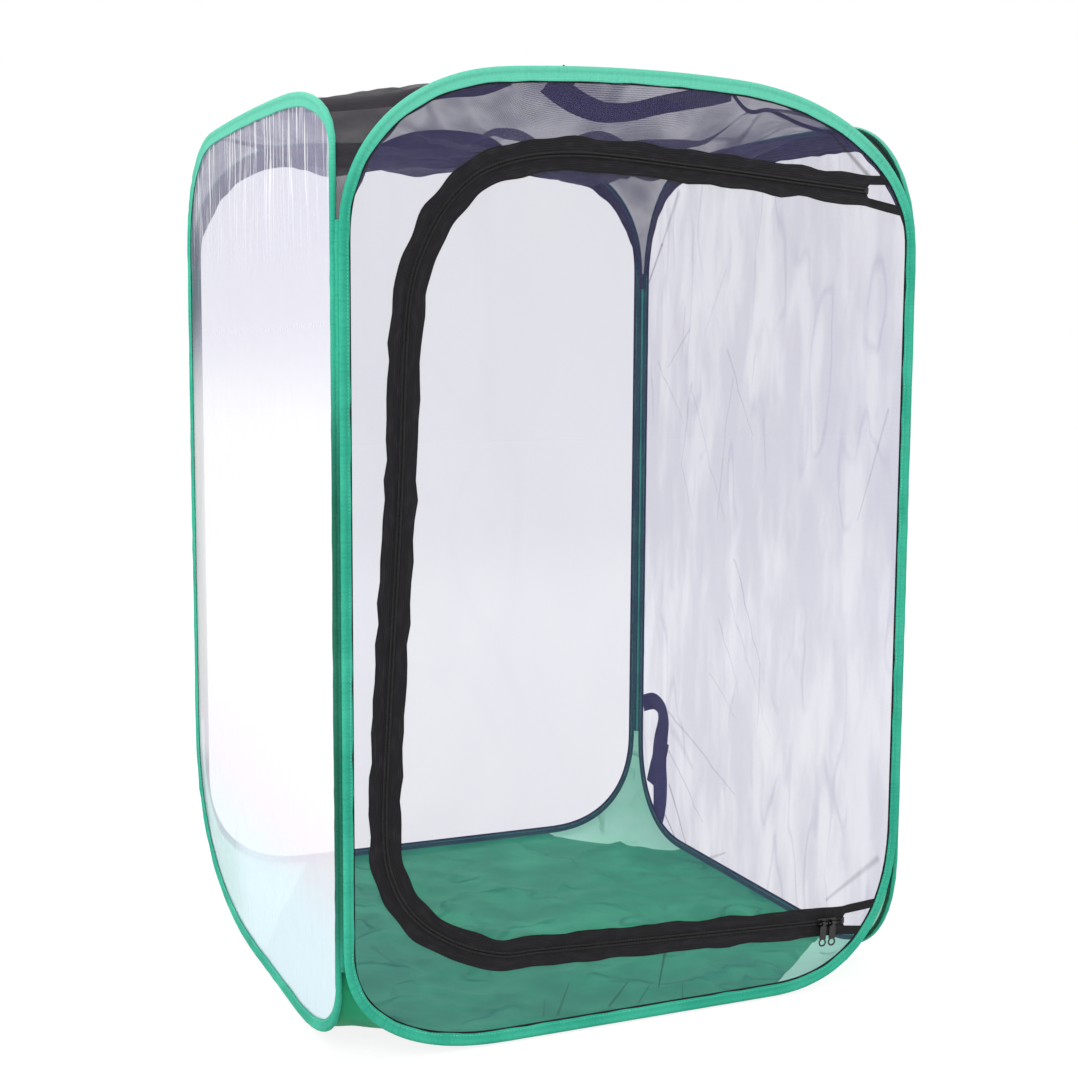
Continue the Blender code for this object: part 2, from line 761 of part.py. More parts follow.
def gusset(name, first, first_side, second, second_side, top, mat):
    a_line = edge_from_seam(hoops[first], first_side, top)
    b_line = edge_from_seam(hoops[second], second_side, top)
    starts = (a_line[0].z, b_line[0].z)
    level = min(starts) if top else max(starts)
    for line in (a_line, b_line):
        if abs(line[0].z - level) > 1e-4:
            line.insert(0, Vector((line[0].x, line[0].y, level)))
    a_line = spread(a_line, GUSSET_ROWS)
    b_line = spread(b_line, GUSSET_ROWS)
    middle = (a_line[0] + b_line[0]) / 2
    inward = Vector((-middle.x, -middle.y, 0)).normalized()
    reach = (b_line[-1] - a_line[-1]).length
    rows = []
    for k in range(GUSSET_ROWS):
        a = a_line[k]
        b = b_line[k]
        grown = k / (GUSSET_ROWS - 1)
        size = (b - a).length / reach
        way = (Vector((0, 0, -grown)) + inward * (1 - grown)).normalized()
        row = []
        for j in range(GUSSET_ACROSS):
            v = j / (GUSSET_ACROSS - 1)
            flat = a.lerp(b, v)
            last = a_line[-1].lerp(b_line[-1], v)
            if top:
                drop = last.z - roof_z(last.x, last.y)
                drop -= (1 - v) * (a_line[-1].z - roof_z(a_line[-1].x, a_line[-1].y))
                drop -= v * (b_line[-1].z - roof_z(b_line[-1].x, b_line[-1].y))
                row.append(flat + way * (drop * size))
            else:
                drop = (last.z - 0.0018) * math.sin(math.pi * v) ** 0.5
                slack = 0.10 * (b - a).length * math.sin(math.pi * v) * math.sin(math.pi * grown)
                row.append(flat + Vector((0, 0, -drop * size * grown)) + inward * slack)
        rows.append(row)
    grid_node(name, rows, SHEET, mat, Matrix(), back_body)
    return a_line[-1], b_line[-1]


roof_corners = []
floor_corners = []
for corner_name, first, first_side, second, second_side in CORNERS:
    where = (first, first_side, second, second_side)
    roof_corners.append(gusset(f"top_gusset_{corner_name}", *where, True, black_mesh))
    floor_corners.append(gusset(f"floor_gusset_{corner_name}", *where, False, green_polyester))


def octagon(corners, shrink):
    """The outline between the gussets, drawn in a little from their edges."""
    made = []
    for a, b in corners:
        for p, q in ((a, b), (b, a)):
            along = (q - p).normalized()
            on_front_or_back = abs(abs(p.y) - PLANE + SEAM_IN) < 1e-4
            run = Vector((-math.copysign(1, along.x), 0)) if on_front_or_back else None
            run = run or Vector((0, -math.copysign(1, along.y)))
            made.append(p.xy + run * shrink)
    return made


def walk(outline, steps):
    made = []
    for i, a in enumerate(outline):
        b = outline[(i + 1) % len(outline)]
        for k in range(steps):
            made.append(a.lerp(b, k / steps))
    return made


roof_edge = walk(octagon(roof_corners, 0.003), 6)
rows = []
RINGS = 8
for k in range(RINGS):
    shrink = 1 - k / RINGS
    row = []
    for p in roof_edge:
        x, y = p * shrink
        near = PLANE - max(abs(x), abs(y))
        amount = min(max((near - 0.055) / 0.06, 0), 1) * min(k, RINGS - k) / RINGS
        fold = 0.008 * amount * math.sin(12 * math.atan2(y, x) + 1.0)
        row.append(Vector((x, y, roof_z(x, y) + fold)))
    rows.append(row)
grid_node("roof_mesh", rows, SHEET, black_mesh, Matrix(), back_body, ring=True)

floor_outline = octagon(floor_corners, 0.001)
flat_node("floor_cloth", floor_outline, 0, SHEET, green_polyester, Matrix(), back_body)


# Handles and the side strap


def handle_rings(slant):
    half_span = HANDLE_SPAN / 2
    bend = 0.016
    flat = [Vector((-half_span, 0.0005)), Vector((-half_span, HANDLE_DEPTH - bend))]
    for k in range(1, 5):
        angle = k * math.pi / 8
        turn = Vector((bend * (1 - math.cos(angle)), -bend * (1 - math.sin(angle))))
        flat.append(Vector((-half_span, HANDLE_DEPTH)) + turn)
    flat += [Vector((-0.030, HANDLE_DEPTH)), Vector((0.0, HANDLE_DEPTH))]
    flat += [Vector((-p.x, p.y)) for p in reversed(flat[:-1])]
    slope = Vector((0, math.cos(slant), math.sin(slant)))
    normal = Vector((0, -math.sin(slant), math.cos(slant)))
    path = []
    for p in flat:
        lift = 0.004 * math.sin(min(max((half_span - abs(p.x)) / half_span, 0), 1) * math.pi / 2)
        path.append(Vector((p.x, 0, 0)) + slope * p.y + normal * lift)
    return ribbon(path, HANDLE_WIDTH, WEBBING, normal)


for node, x, turn, slant, parent in (
    ("front_handle", FRONT_HANDLE_X, 0, FRONT_HANDLE_SLOPE, front_body),
    ("back_handle", BACK_HANDLE_X, math.pi, BACK_HANDLE_SLOPE, back_body),
):
    y = -(PLANE - HANDLE_IN) if turn == 0 else PLANE - HANDLE_IN
    z = HEIGHT + HOOPS[node.split("_")[0]][4] - HANDLE_DOWN
    spot = Matrix.Translation((x, y, z)) @ Matrix.Rotation(turn, 4, "Z")
    swing = empty(f"{node}_body", spot, parent)
    points, faces = loft(handle_rings(slant), False)
    mesh_node(node, points, faces, webbing, spot, swing)

right = hoops["right"]
strap_knots = [
    Vector((0.2900, 0.1735, 0.0043)),
    Vector((0.2700, 0.1775, 0.0110)),
    Vector((0.2500, 0.1690, 0.0190)),
    Vector((0.2420, 0.1460, 0.0220)),
    Vector((0.2440, 0.1150, 0.0190)),
    Vector((0.2490, 0.0820, 0.0120)),
    Vector((0.2480, 0.0520, 0.0058)),
    Vector((0.2430, 0.0300, 0.0043)),
]
strap = ribbon(smooth_path(strap_knots, 2), STRAP_WIDTH, WEBBING, Vector((0, 0, 1)))
points, faces = loft(strap, False)
mesh_node("side_strap", points, faces, webbing, right.place, right.body)
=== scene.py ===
"""Dresses the pop-up insect cage: steel hoops bound in green polyester, fine black mesh, a clear
vinyl window, a black coil zip, webbing handles and a crumpled cloth floor."""

import math

import bpy
import numpy as np
from mathutils import Matrix, Vector
from mathutils.geometry import delaunay_2d_cdt


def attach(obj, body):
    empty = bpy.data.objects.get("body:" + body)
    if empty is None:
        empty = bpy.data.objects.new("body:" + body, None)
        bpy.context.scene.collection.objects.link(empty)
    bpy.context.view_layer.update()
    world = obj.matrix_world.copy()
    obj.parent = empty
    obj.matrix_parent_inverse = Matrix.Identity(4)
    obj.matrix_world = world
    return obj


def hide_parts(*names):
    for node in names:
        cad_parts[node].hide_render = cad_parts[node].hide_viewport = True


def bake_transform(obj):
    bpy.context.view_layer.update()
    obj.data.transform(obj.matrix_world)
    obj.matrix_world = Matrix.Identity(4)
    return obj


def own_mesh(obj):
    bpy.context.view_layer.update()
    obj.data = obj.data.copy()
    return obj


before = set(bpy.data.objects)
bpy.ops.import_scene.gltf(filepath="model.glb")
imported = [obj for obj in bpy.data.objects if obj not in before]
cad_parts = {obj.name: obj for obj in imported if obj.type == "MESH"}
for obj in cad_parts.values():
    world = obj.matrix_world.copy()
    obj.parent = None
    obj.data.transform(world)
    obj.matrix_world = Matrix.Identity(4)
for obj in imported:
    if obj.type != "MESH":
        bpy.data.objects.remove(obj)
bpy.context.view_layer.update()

# Sizes shared with the frame, in metres
PLANE, HINGE, HALF_WIDTH, HEIGHT, HOOP_LOW = 0.300, 0.297, 0.2971, 0.878, 0.0012
BINDING_R, BINDING_BORE = 0.0031, 0.0024
LEG_TOP, LEG_BOTTOM, LEG_SIDE = 0.0104, 0.0090, 0.0064
ROUNDNESS = 2.35
SHEET_INSET = 0.0032
HEM_WIDE = {"front": 0.008, "left": 0.008, "right": 0.022, "back": 0.022}
HEM_NARROW = 0.008
SEAM_IN, SEAM_DOWN = 0.0036, 0.0020
ROOF_SAG, ROOF_FALL, ROOF_POCKET = 0.036, 0.045, 0.024
FRONT_HANDLE_X = -0.007
HANDLE_WIDE, STRAP_WIDE, WEBBING_THICK = 0.0245, 0.0225, 0.0013

# One stitch and one zip tooth: along, across and high; then their pitch
STITCH, STITCH_PITCH = (0.0024, 0.00055, 0.00055), 0.0032
TOOTH, TOOTH_PITCH = (0.0012, 0.0029, 0.0018), 0.0016

# Where the pieces at the two corners that open meet the quarters: their least reach along the
# panels from the hinge, and inward from it
FAN_SIDE, FAN_DEEP = 0.36, 0.135

# The rectangles of a side panel and of the door, and one narrower than the C of cloth round it
PANEL_FLAT, DOOR_FLAT, SURROUND_FLAT = (0.60, 0.89), (0.54, 0.74), (0.34, 0.89)

# How finely the hoops, their edges and the cloth are drawn
CORNER_STEPS = 26
RUN_STEP = 0.016
EDGE_POINTS = 500
CLOTH_STEP = 0.009
FRONT_STEP = 0.011
BACK_STEP = 0.012
FINE_STEP = 0.008

# Each hoop's corners (along, up): low right, top right, top left, low left; then its top's bow
HOOPS = {
    "front": ((0.150, 0.172), (0.215, 0.131), (0.161, 0.138), (0.162, 0.110), 0.027),
    "right": ((0.130, 0.134), (0.143, 0.150), (0.143, 0.150), (0.130, 0.134), 0.012),
    "back": ((0.130, 0.134), (0.130, 0.134), (0.130, 0.134), (0.130, 0.134), 0.022),
    "left": ((0.150, 0.078), (0.164, 0.056), (0.142, 0.131), (0.290, 0.200), 0.009),
}
TURNS = {"front": 0, "right": 1, "back": 2, "left": 3}

# The zip on the front panel: its straight lower run, and the points that it turns through
ZIP_SLOPE = math.radians(-2.5)
ZIP_LOW = (0.2305, 0.0708)
ZIP_BEND = -0.145
ZIP_TURNS = (
    (-0.1857, 0.1015),
    (-0.2248, 0.1285),
    (-0.2487, 0.1640),
    (-0.2585, 0.2150),
    (-0.2535, 0.3380),
    (-0.2430, 0.5173),
    (-0.2355, 0.6800),
    (-0.2186, 0.7423),
    (-0.1890, 0.7870),
    (-0.1481, 0.8130),
    (-0.0750, 0.8255),
    (0.0532, 0.8190),
    (0.1623, 0.8109),
    (0.2360, 0.8055),
)
MESH_FROM_ZIP = 0.007
TAPE_NEAR, TAPE_WIDE = -0.00005, 0.0151


# Plain maths

FULL_TURN = 6.283


def smooth(t):
    """An even ease from 0 to 1."""
    t = np.clip(t, 0, 1)
    return t * t * (3 - 2 * t)


def ripple(x, y, length, seed, waves=9, way=None, spread=math.pi):
    """Even, seeded waviness about zero, with waves near this length, all round or near one way."""
    rng = np.random.default_rng(seed)
    total = 0
    for _ in range(waves):
        turn = (way or 0) + rng.uniform(-spread, spread)
        k = 2 * math.pi / (length * rng.uniform(0.6, 1.6))
        along = (x * math.cos(turn) + y * math.sin(turn)) * k
        total = total + np.sin(along + rng.uniform(0, FULL_TURN))
    return total / math.sqrt(waves)


def creases(x, y, length, seed, sharp=3, **turned):
    """Narrow ridges, from 0 to 1, where a rippled field crosses zero."""
    return np.clip(1 - np.abs(ripple(x, y, length, seed, **turned)), 0, 1) ** sharp


def place(panel, along, up, out):
    """Panel coordinates to world: along the panel, up, and out of the cage."""
    turn = TURNS[panel] * math.pi / 2
    x, y = along, -(PLANE + out)
    c, s = math.cos(turn), math.sin(turn)
    return np.stack(np.broadcast_arrays(x * c - y * s, x * s + y * c, up), -1)


def cumulative(path):
    return np.concatenate([[0], np.cumsum(np.linalg.norm(np.diff(path, axis=0), axis=1))])


def resample(path, count):
    length = cumulative(path)
    want = np.linspace(0, length[-1], count)
    return np.stack([np.interp(want, length, path[:, k]) for k in range(path.shape[1])], 1)


def smooth_path(knots, steps):
    knots = np.asarray(knots, float)
    made = []
    for i in range(len(knots) - 1):
        a, b = knots[max(i - 1, 0)], knots[i]
        c, d = knots[i + 1], knots[min(i + 2, len(knots) - 1)]
        for t in np.arange(steps) / steps:
            bend = (a * 2 - b * 5 + c * 4 - d) * t * t + (b * 3 - a - c * 3 + d) * t**3
            made.append(b + ((c - a) * t + bend) / 2)
    return np.array(made + [knots[-1]])


def normals_of(path, closed=False):
    """Left-hand normals of a plane path."""
    if closed:
        back, ahead = path - np.roll(path, 1, 0), np.roll(path, -1, 0) - path
    else:
        steps = np.diff(path, axis=0)
        back, ahead = np.vstack([steps[:1], steps]), np.vstack([steps, steps[-1:]])
    back = back / np.linalg.norm(back, axis=1)[:, None]
    ahead = ahead / np.linalg.norm(ahead, axis=1)[:, None]
    along = back + ahead
    along /= np.linalg.norm(along, axis=1)[:, None]
    return np.stack([-along[:, 1], along[:, 0]], 1)


def distance_to(points, line, chunk=64):
    """How far each plane point is from the nearest point of a dense line."""
    best = np.full(len(points), 1e9)
    for start in range(0, len(line), chunk):
        gap = points[:, None, :] - line[None, start : start + chunk, :]
        best = np.minimum(best, (gap**2).sum(-1).min(1))
    return np.sqrt(best)


def inside(points, outline):
    """Even-odd test of plane points against an outline."""
    found = np.zeros(len(points), bool)
    a, b = outline, np.roll(outline, -1, 0)
    for (ax, ay), (bx, by) in zip(a, b):
        if ay == by:
            continue
        crosses = (points[:, 1] < ay) != (points[:, 1] < by)
        found ^= crosses & (points[:, 0] < ax + (bx - ax) * (points[:, 1] - ay) / (by - ay))
    return found


# Meshes


def new_mesh(name, points, faces, material, uv=None):
    data = bpy.data.meshes.new(name)
    data.from_pydata([tuple(p) for p in np.asarray(points)], [], faces)
    data.materials.append(material)
    data.shade_smooth()
    if uv is not None:
        layer = data.uv_layers.new(name="UVMap")
        corners = np.empty(len(data.loops), int)
        data.loops.foreach_get("vertex_index", corners)
        layer.data.foreach_set("uv", np.asarray(uv)[corners].astype(np.float32).ravel())
    made = bpy.data.objects.new(name, data)
    bpy.context.scene.collection.objects.link(made)
    return made


def sweep(name, rings, material, closed_path, u, v, sharp=None):
    """A tube through rings (path, around, 3), closed around, and closed along or capped."""
    return sweeps(name, [(rings, u, v)], material, closed_path, sharp)


def sweeps(name, bands, material, closed_path=False, sharp=None):
    """Several such tubes in one mesh, each given as its rings and the UVs along and around."""
    points, faces, uvs = [], [], []
    for rings, u, v in bands:
        n, m, _ = rings.shape
        first = sum(len(p) for p in points)
        own = []
        for i in range(n if closed_path else n - 1):
            j = (i + 1) % n
            for a in range(m):
                b = (a + 1) % m
                own.append((i * m + a, i * m + b, j * m + b, j * m + a))
        if not closed_path:
            own.append(tuple(range(m - 1, -1, -1)))
            own.append(tuple(range((n - 1) * m, n * m)))
        flat = rings.reshape(-1, 3)
        volume = 0.0
        for face in own[:: max(1, len(own) // 4000)]:
            p = flat[list(face)]
            volume += np.dot(p[0] - flat.mean(0), np.cross(p[1] - p[0], p[-1] - p[0]))
        if volume < 0:
            own = [face[::-1] for face in own]
        points.append(flat)
        faces += [tuple(first + k for k in face) for face in own]
        uv = np.stack(np.broadcast_arrays(np.asarray(u)[:, None], np.asarray(v)[None, :]), -1)
        uvs.append(uv.reshape(-1, 2))
    made = new_mesh(name, np.vstack(points), faces, material, np.vstack(uvs))
    if closed_path:
        layer = made.data.uv_layers[0].data
        for face in made.data.polygons[(n - 1) * m : n * m]:
            for k in face.loop_indices:
                if made.data.loops[k].vertex_index < m:
                    layer[k].uv[0] += u[-1] + np.linalg.norm(flat[0] - flat[-m])
    if sharp:
        made.data.set_sharp_from_angle(angle=math.radians(sharp))
    return made


def cloth(name, outline, spacing, lift, material, split=True):
    """A single sheet inside a plane outline, lifted into place by lift(points)."""
    closed = np.vstack([outline, outline[:1]])
    count = max(8, int(cumulative(closed)[-1] / spacing))
    if split:
        outline = keep_corners(outline, spacing)
    low, high = outline.min(0), outline.max(0)
    xs = np.arange(low[0], high[0], spacing)
    ys = np.arange(low[1], high[1], spacing * 0.866)
    grid = np.array([(x + (j % 2) * spacing / 2, y) for j, y in enumerate(ys) for x in xs])
    grid = grid[inside(grid, outline)]
    grid = grid[distance_to(grid, resample(closed, count * 4)) > spacing * 0.55]
    verts = [Vector(p) for p in np.vstack([outline, grid])]
    ring = list(range(len(outline)))
    x, y = outline[:, 0], outline[:, 1]
    if np.sum(x * np.roll(y, -1) - np.roll(x, -1) * y) < 0:
        ring = ring[::-1]
    flat, _, faces, *_ = delaunay_2d_cdt(verts, [], [ring], 1, 1e-6)
    flat = np.array([tuple(p) for p in flat])
    return new_mesh(name, lift(flat), [tuple(f) for f in faces], material, flat)


def keep_corners(outline, spacing):
    """The outline with its long edges split, so that triangles stay even."""
    made = []
    for a, b in zip(outline, np.roll(outline, -1, 0)):
        steps = max(1, int(round(np.linalg.norm(b - a) / spacing)))
        made += [a + (b - a) * k / steps for k in range(steps)]
    return np.array(made)


def sheet_grid(name, points, material):
    """A sheet through a grid of points (rows, across, 3), with UVs in metres."""
    n, m, _ = points.shape
    faces = []
    for i in range(n - 1):
        for a in range(m - 1):
            k = i * m + a
            faces.append((k, k + 1, k + m + 1, k + m))
    v = cumulative(points[:, m // 2])
    widths = [cumulative(row) for row in points]
    uv = np.array([[(w[a] - w[-1] / 2, v[i]) for a in range(m)] for i, w in enumerate(widths)])
    return new_mesh(name, points.reshape(-1, 3), faces, material, uv.reshape(-1, 2))


def ribbon_rings(path, facing, width, thick):
    """Rings of a webbing band. Facing gives its face's direction at each point of the path."""
    along = np.gradient(path, axis=0)
    along /= np.linalg.norm(along, axis=1)[:, None]
    facing = facing - along * (facing * along).sum(1)[:, None]
    facing /= np.linalg.norm(facing, axis=1)[:, None]
    side = np.cross(along, facing)
    across = np.array([-1, -0.97, -0.6, 0, 0.6, 0.97, 1, 0.97, 0.6, 0, -0.6, -0.97])
    height = np.array([0, 0.8, 1, 1, 1, 0.8, 0, -0.8, -1, -1, -1, -0.8])
    rings = path[:, None, :] + side[:, None, :] * (across * width / 2)[None, :, None]
    rings = rings + facing[:, None, :] * (height * thick / 2)[None, :, None]
    return rings, cumulative(path), across * width / 2


def settle(piece, body, slot, *nodes):
    """Puts a finished piece on its body and hides the nodes that it shows; the slot is not used.

    The body "door" leaves the piece where it is, with its transform baked in."""
    if body == "door":
        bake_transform(piece)
    else:
        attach(piece, body)
    if nodes:
        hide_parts(*nodes)


# Shader building


def add_node(tree, kind, inputs=None, **settings):
    made = tree.nodes.new(kind)
    for key, value in settings.items():
        setattr(made, key, value)
    for key, value in (inputs or {}).items():
        if isinstance(value, bpy.types.NodeSocket):
            tree.links.new(value, made.inputs[key])
        else:
            made.inputs[key].default_value = value
    return made


def maths(tree, operation, *values, clamp=False):
    made = add_node(tree, "ShaderNodeMath", dict(enumerate(values)), operation=operation)
    made.use_clamp = clamp
    return made.outputs[0]


def mul(tree, a, b, clamp=False):
    return maths(tree, "MULTIPLY", a, b, clamp=clamp)


def mul_add(tree, a, b, c, clamp=False):
    return maths(tree, "MULTIPLY_ADD", a, b, c, clamp=clamp)


def mapped(tree, value, low, high, to_low=0.0, to_high=1.0):
    values = {"Value": value, "From Min": low, "From Max": high}
    values.update({"To Min": to_low, "To Max": to_high})
    made = add_node(tree, "ShaderNodeMapRange", values, interpolation_type="SMOOTHSTEP")
    return made.outputs["Result"]


def noise(tree, vector, scale, detail=2.0, roughness=0.5):
    values = {"Vector": vector, "Scale": scale, "Detail": detail, "Roughness": roughness}
    return add_node(tree, "ShaderNodeTexNoise", values).outputs["Fac"]


def stretched(tree, vector, scale):
    return add_node(tree, "ShaderNodeMapping", {"Vector": vector, "Scale": scale}).outputs["Vector"]


def mix_colour(tree, factor, a, b):
    a, b = ((*c, 1.0) if isinstance(c, tuple) else c for c in (a, b))
    made = add_node(tree, "ShaderNodeMix", {0: factor, 6: a, 7: b}, data_type="RGBA")
    return made.outputs[2]


def new_group(name, sockets_in, sockets_out):
    group = bpy.data.node_groups.new(name, "ShaderNodeTree")
    for label, kind, value in sockets_in:
        made = group.interface.new_socket(label, in_out="INPUT", socket_type="NodeSocket" + kind)
        if value is not None:
            made.default_value = value
    for label in sockets_out:
        group.interface.new_socket(label, in_out="OUTPUT", socket_type="NodeSocketFloat")
    return group, group.nodes.new("NodeGroupInput"), group.nodes.new("NodeGroupOutput")


def weave_group():
    """Over-and-under threads: a height for bump and a mask of the gaps between the threads."""
    group, given, made = new_group(
        "woven_threads",
        (("Vector", "Vector", None), ("Pitch", "Float", 0.0006), ("Thread", "Float", 0.5)),
        ("Height", "Cover"),
    )
    split = add_node(group, "ShaderNodeSeparateXYZ", {0: given.outputs["Vector"]})
    waves = []
    covers = []
    for k in (0, 1):
        cycle = maths(group, "DIVIDE", split.outputs[k], given.outputs["Pitch"])
        waves.append(maths(group, "SINE", mul(group, cycle, math.pi)))
        near = maths(group, "PINGPONG", cycle, 0.5)
        half = mul(group, given.outputs["Thread"], 0.5)
        edge = maths(group, "SUBTRACT", half, near)
        covers.append(mul_add(group, edge, 6.0, 0.5, clamp=True))
    height = mul(group, waves[0], waves[1])
    cover = maths(group, "MAXIMUM", covers[0], covers[1])
    group.links.new(height, made.inputs["Height"])
    group.links.new(cover, made.inputs["Cover"])
    return group


def crumple_group():
    """Soft folds and sharp little creases, as thin cloth takes when it has been packed flat."""
    group, given, made = new_group(
        "crumpled_cloth",
        (("Vector", "Vector", None), ("Scale", "Float", 20.0), ("Sharpness", "Float", 2.0)),
        ("Folds", "Creases"),
    )
    scale = given.outputs["Scale"]
    at = given.outputs["Vector"]
    folds = add_node(group, "ShaderNodeTexNoise", {"Vector": at, "Scale": scale, "Detail": 3.0})
    moved = {0: folds.outputs["Color"], 1: (0.02, 0.02, 0.02), 2: at}
    warped = add_node(group, "ShaderNodeVectorMath", moved, operation="MULTIPLY_ADD")
    bends = noise(group, warped.outputs[0], mul(group, scale, 0.9), 1.0)
    off = maths(group, "ABSOLUTE", maths(group, "SUBTRACT", bends, 0.5))
    away = mul(group, off, mul(group, given.outputs["Sharpness"], 3.0), clamp=True)
    here = mapped(group, noise(group, at, mul(group, scale, 0.7), 1.0), 0.42, 0.60)
    group.links.new(folds.outputs["Fac"], made.inputs["Folds"])
    ridge = mul(group, maths(group, "SUBTRACT", 1.0, away), here)
    group.links.new(ridge, made.inputs["Creases"])
    return group


def fold_group():
    """One pressed fold in the cloth: a mask along a short line, tapering towards its end."""
    vectors = [(label, "Vector", None) for label in ("Vector", "From", "To")]
    group, given, made = new_group("pressed_fold", vectors + [("Width", "Float", 0.004)], ("Mask",))

    def vector(operation, *values):
        inputs = dict(enumerate(values))
        node = add_node(group, "ShaderNodeVectorMath", inputs, operation=operation)
        return node.outputs["Value" if operation in ("DOT_PRODUCT", "LENGTH") else "Vector"]

    start = given.outputs["From"]
    run = vector("SUBTRACT", given.outputs["To"], start)
    away = vector("SUBTRACT", given.outputs["Vector"], start)
    gone, whole_run = vector("DOT_PRODUCT", away, run), vector("DOT_PRODUCT", run, run)
    share = maths(group, "DIVIDE", gone, whole_run, clamp=True)
    whole = add_node(group, "ShaderNodeCombineXYZ", {0: share, 1: share, 2: share}).outputs[0]
    near = vector("LENGTH", vector("SUBTRACT", away, vector("MULTIPLY", run, whole)))
    taper = mul_add(group, share, -0.55, 1.0)
    width = mul(group, given.outputs["Width"], taper)
    group.links.new(mapped(group, near, 0.0, width, 1.0, 0.0), made.inputs["Mask"])
    return group


# Pressed folds of the right net: start, end, width and depth, along the panel and up
RIGHT_FOLDS = (
    ((0.237, 0.861), (0.302, 0.771), 0.0032, 0.40),
    ((0.205, 0.845), (0.250, 0.783), 0.0070, 0.22),
    ((0.250, 0.783), (0.301, 0.715), 0.0045, 0.34),
    ((0.083, 0.745), (0.131, 0.668), 0.0030, 0.08),
    ((0.169, 0.674), (0.226, 0.627), 0.0032, 0.13),
    ((0.180, 0.703), (0.189, 0.639), 0.0026, 0.10),
    ((0.256, 0.633), (0.180, 0.556), 0.0028, 0.12),
    ((0.161, 0.608), (0.188, 0.503), 0.0030, 0.13),
    ((0.188, 0.503), (0.147, 0.437), 0.0026, 0.11),
    ((0.164, 0.605), (0.072, 0.444), 0.0028, 0.10),
    ((0.076, 0.649), (0.010, 0.550), 0.0030, 0.13),
    ((0.061, 0.616), (0.079, 0.518), 0.0030, 0.09),
    ((0.079, 0.518), (0.091, 0.442), 0.0026, 0.12),
    ((0.006, 0.646), (0.012, 0.609), 0.0026, 0.12),
    ((0.047, 0.398), (-0.016, 0.282), 0.0030, 0.15),
    ((-0.016, 0.282), (-0.015, 0.177), 0.0026, 0.10),
    ((0.062, 0.354), (-0.043, 0.200), 0.0026, 0.09),
    ((0.084, 0.319), (0.030, 0.238), 0.0026, 0.12),
    ((0.105, 0.249), (0.034, 0.203), 0.0024, 0.10),
    ((0.212, 0.178), (0.036, 0.111), 0.0034, 0.16),
    ((0.212, 0.166), (0.148, 0.119), 0.0120, 0.10),
    ((0.211, 0.126), (0.116, 0.055), 0.0034, 0.16),
    ((0.209, 0.080), (0.157, 0.012), 0.0034, 0.30),
    ((0.218, 0.037), (0.185, 0.012), 0.0026, 0.40),
    ((0.100, 0.012), (0.057, 0.032), 0.0040, 0.20),
    ((-0.263, 0.116), (-0.169, 0.042), 0.0060, 0.22),
    ((-0.260, 0.590), (-0.208, 0.471), 0.0034, 0.16),
)

# Pressed folds of the front net
FRONT_FOLDS = (
    ((-0.0858, 0.0189), (-0.0735, 0.0497), 0.0026, 0.30),
    ((-0.0307, 0.0193), (-0.0116, 0.0405), 0.0028, 0.34),
    ((0.0295, 0.0669), (0.0224, 0.0304), 0.0030, 0.42),
    ((0.0007, 0.0175), (0.0124, 0.0339), 0.0022, 0.26),
    ((0.0492, 0.0131), (0.0489, 0.0295), 0.0020, 0.26),
    ((-0.1004, 0.0202), (-0.0994, 0.0358), 0.0018, 0.22),
    ((0.2430, 0.8182), (0.1960, 0.8590), 0.0044, 0.42),
    ((0.2560, 0.7890), (0.2830, 0.7560), 0.0030, 0.40),
    ((-0.2708, 0.1119), (-0.2442, 0.0883), 0.0024, 0.16),
)

NET_PITCH = 0.0013
WEAVE = weave_group()
CRUMPLE = crumple_group()
FOLD = fold_group()


def new_material(name):
    made = bpy.data.materials.new(name)
    made.use_nodes = True
    tree = made.node_tree
    return made, tree, tree.nodes["Principled BSDF"]


def plain(bsdf, **values):
    for key, value in values.items():
        socket = bsdf.inputs[key.replace("_", " ")]
        socket.default_value = (*value, 1.0) if isinstance(value, tuple) else value


def group_node(tree, group, **inputs):
    return add_node(tree, "ShaderNodeGroup", inputs, node_tree=group).outputs


def bump(tree, bsdf, height, distance):
    made = add_node(tree, "ShaderNodeBump", {"Height": height, "Distance": distance})
    tree.links.new(made.outputs["Normal"], bsdf.inputs["Normal"])


def polyester(name, dark, light, scale, crease, pucker=False, fades=()):
    """Dyed woven polyester with soft folds, creases and, on bindings, puckers across the seam; its
    colour carries painted shade along the folds and creases, and the bindings' painted light and
    shade between the heights given in fades.
    """
    made, tree, bsdf = new_material(name)
    coords = tree.nodes.new("ShaderNodeTexCoord")
    uv, at = coords.outputs["UV"], coords.outputs["Object"]
    threads = group_node(tree, WEAVE, Vector=uv, Pitch=0.0007)
    folds = group_node(tree, CRUMPLE, Vector=at, Scale=scale, Sharpness=7.0)
    height = mul(tree, folds["Creases"], crease)
    height = mul_add(tree, folds["Folds"], crease, height)
    height = mul_add(tree, threads["Height"], 0.012, height)
    if pucker:
        short = noise(tree, stretched(tree, uv, (260.0, 30.0, 1.0)), 1.0)
        height = mul_add(tree, short, 0.55, height)
    bump(tree, bsdf, height, 0.004)
    # Colour: random patches of tone, plus painted shade that follows the folds; the creases are
    # painted darker.
    patches = noise(tree, at, 11.0, 3.0)
    shade = mul_add(tree, folds["Folds"], 0.5, mul(tree, patches, 0.5))
    shade = mul_add(tree, folds["Creases"], crease * -0.12, shade)
    colour = mix_colour(tree, mapped(tree, shade, 0.34, 0.72), dark, light)
    # Painted light and shade on the bindings: the colour fades to another between two heights.
    up = add_node(tree, "ShaderNodeSeparateXYZ", {0: at}).outputs[2]
    for start, end, other in fades:
        colour = mix_colour(tree, mapped(tree, up, start, end), colour, other)
    grain = mul(tree, threads["Cover"], 0.10)
    colour = mix_colour(tree, grain, colour, tuple(0.6 * c for c in dark))
    tree.links.new(colour, bsdf.inputs["Base Color"])
    plain(bsdf, Roughness=0.62, Specular_IOR_Level=0.15)
    return made


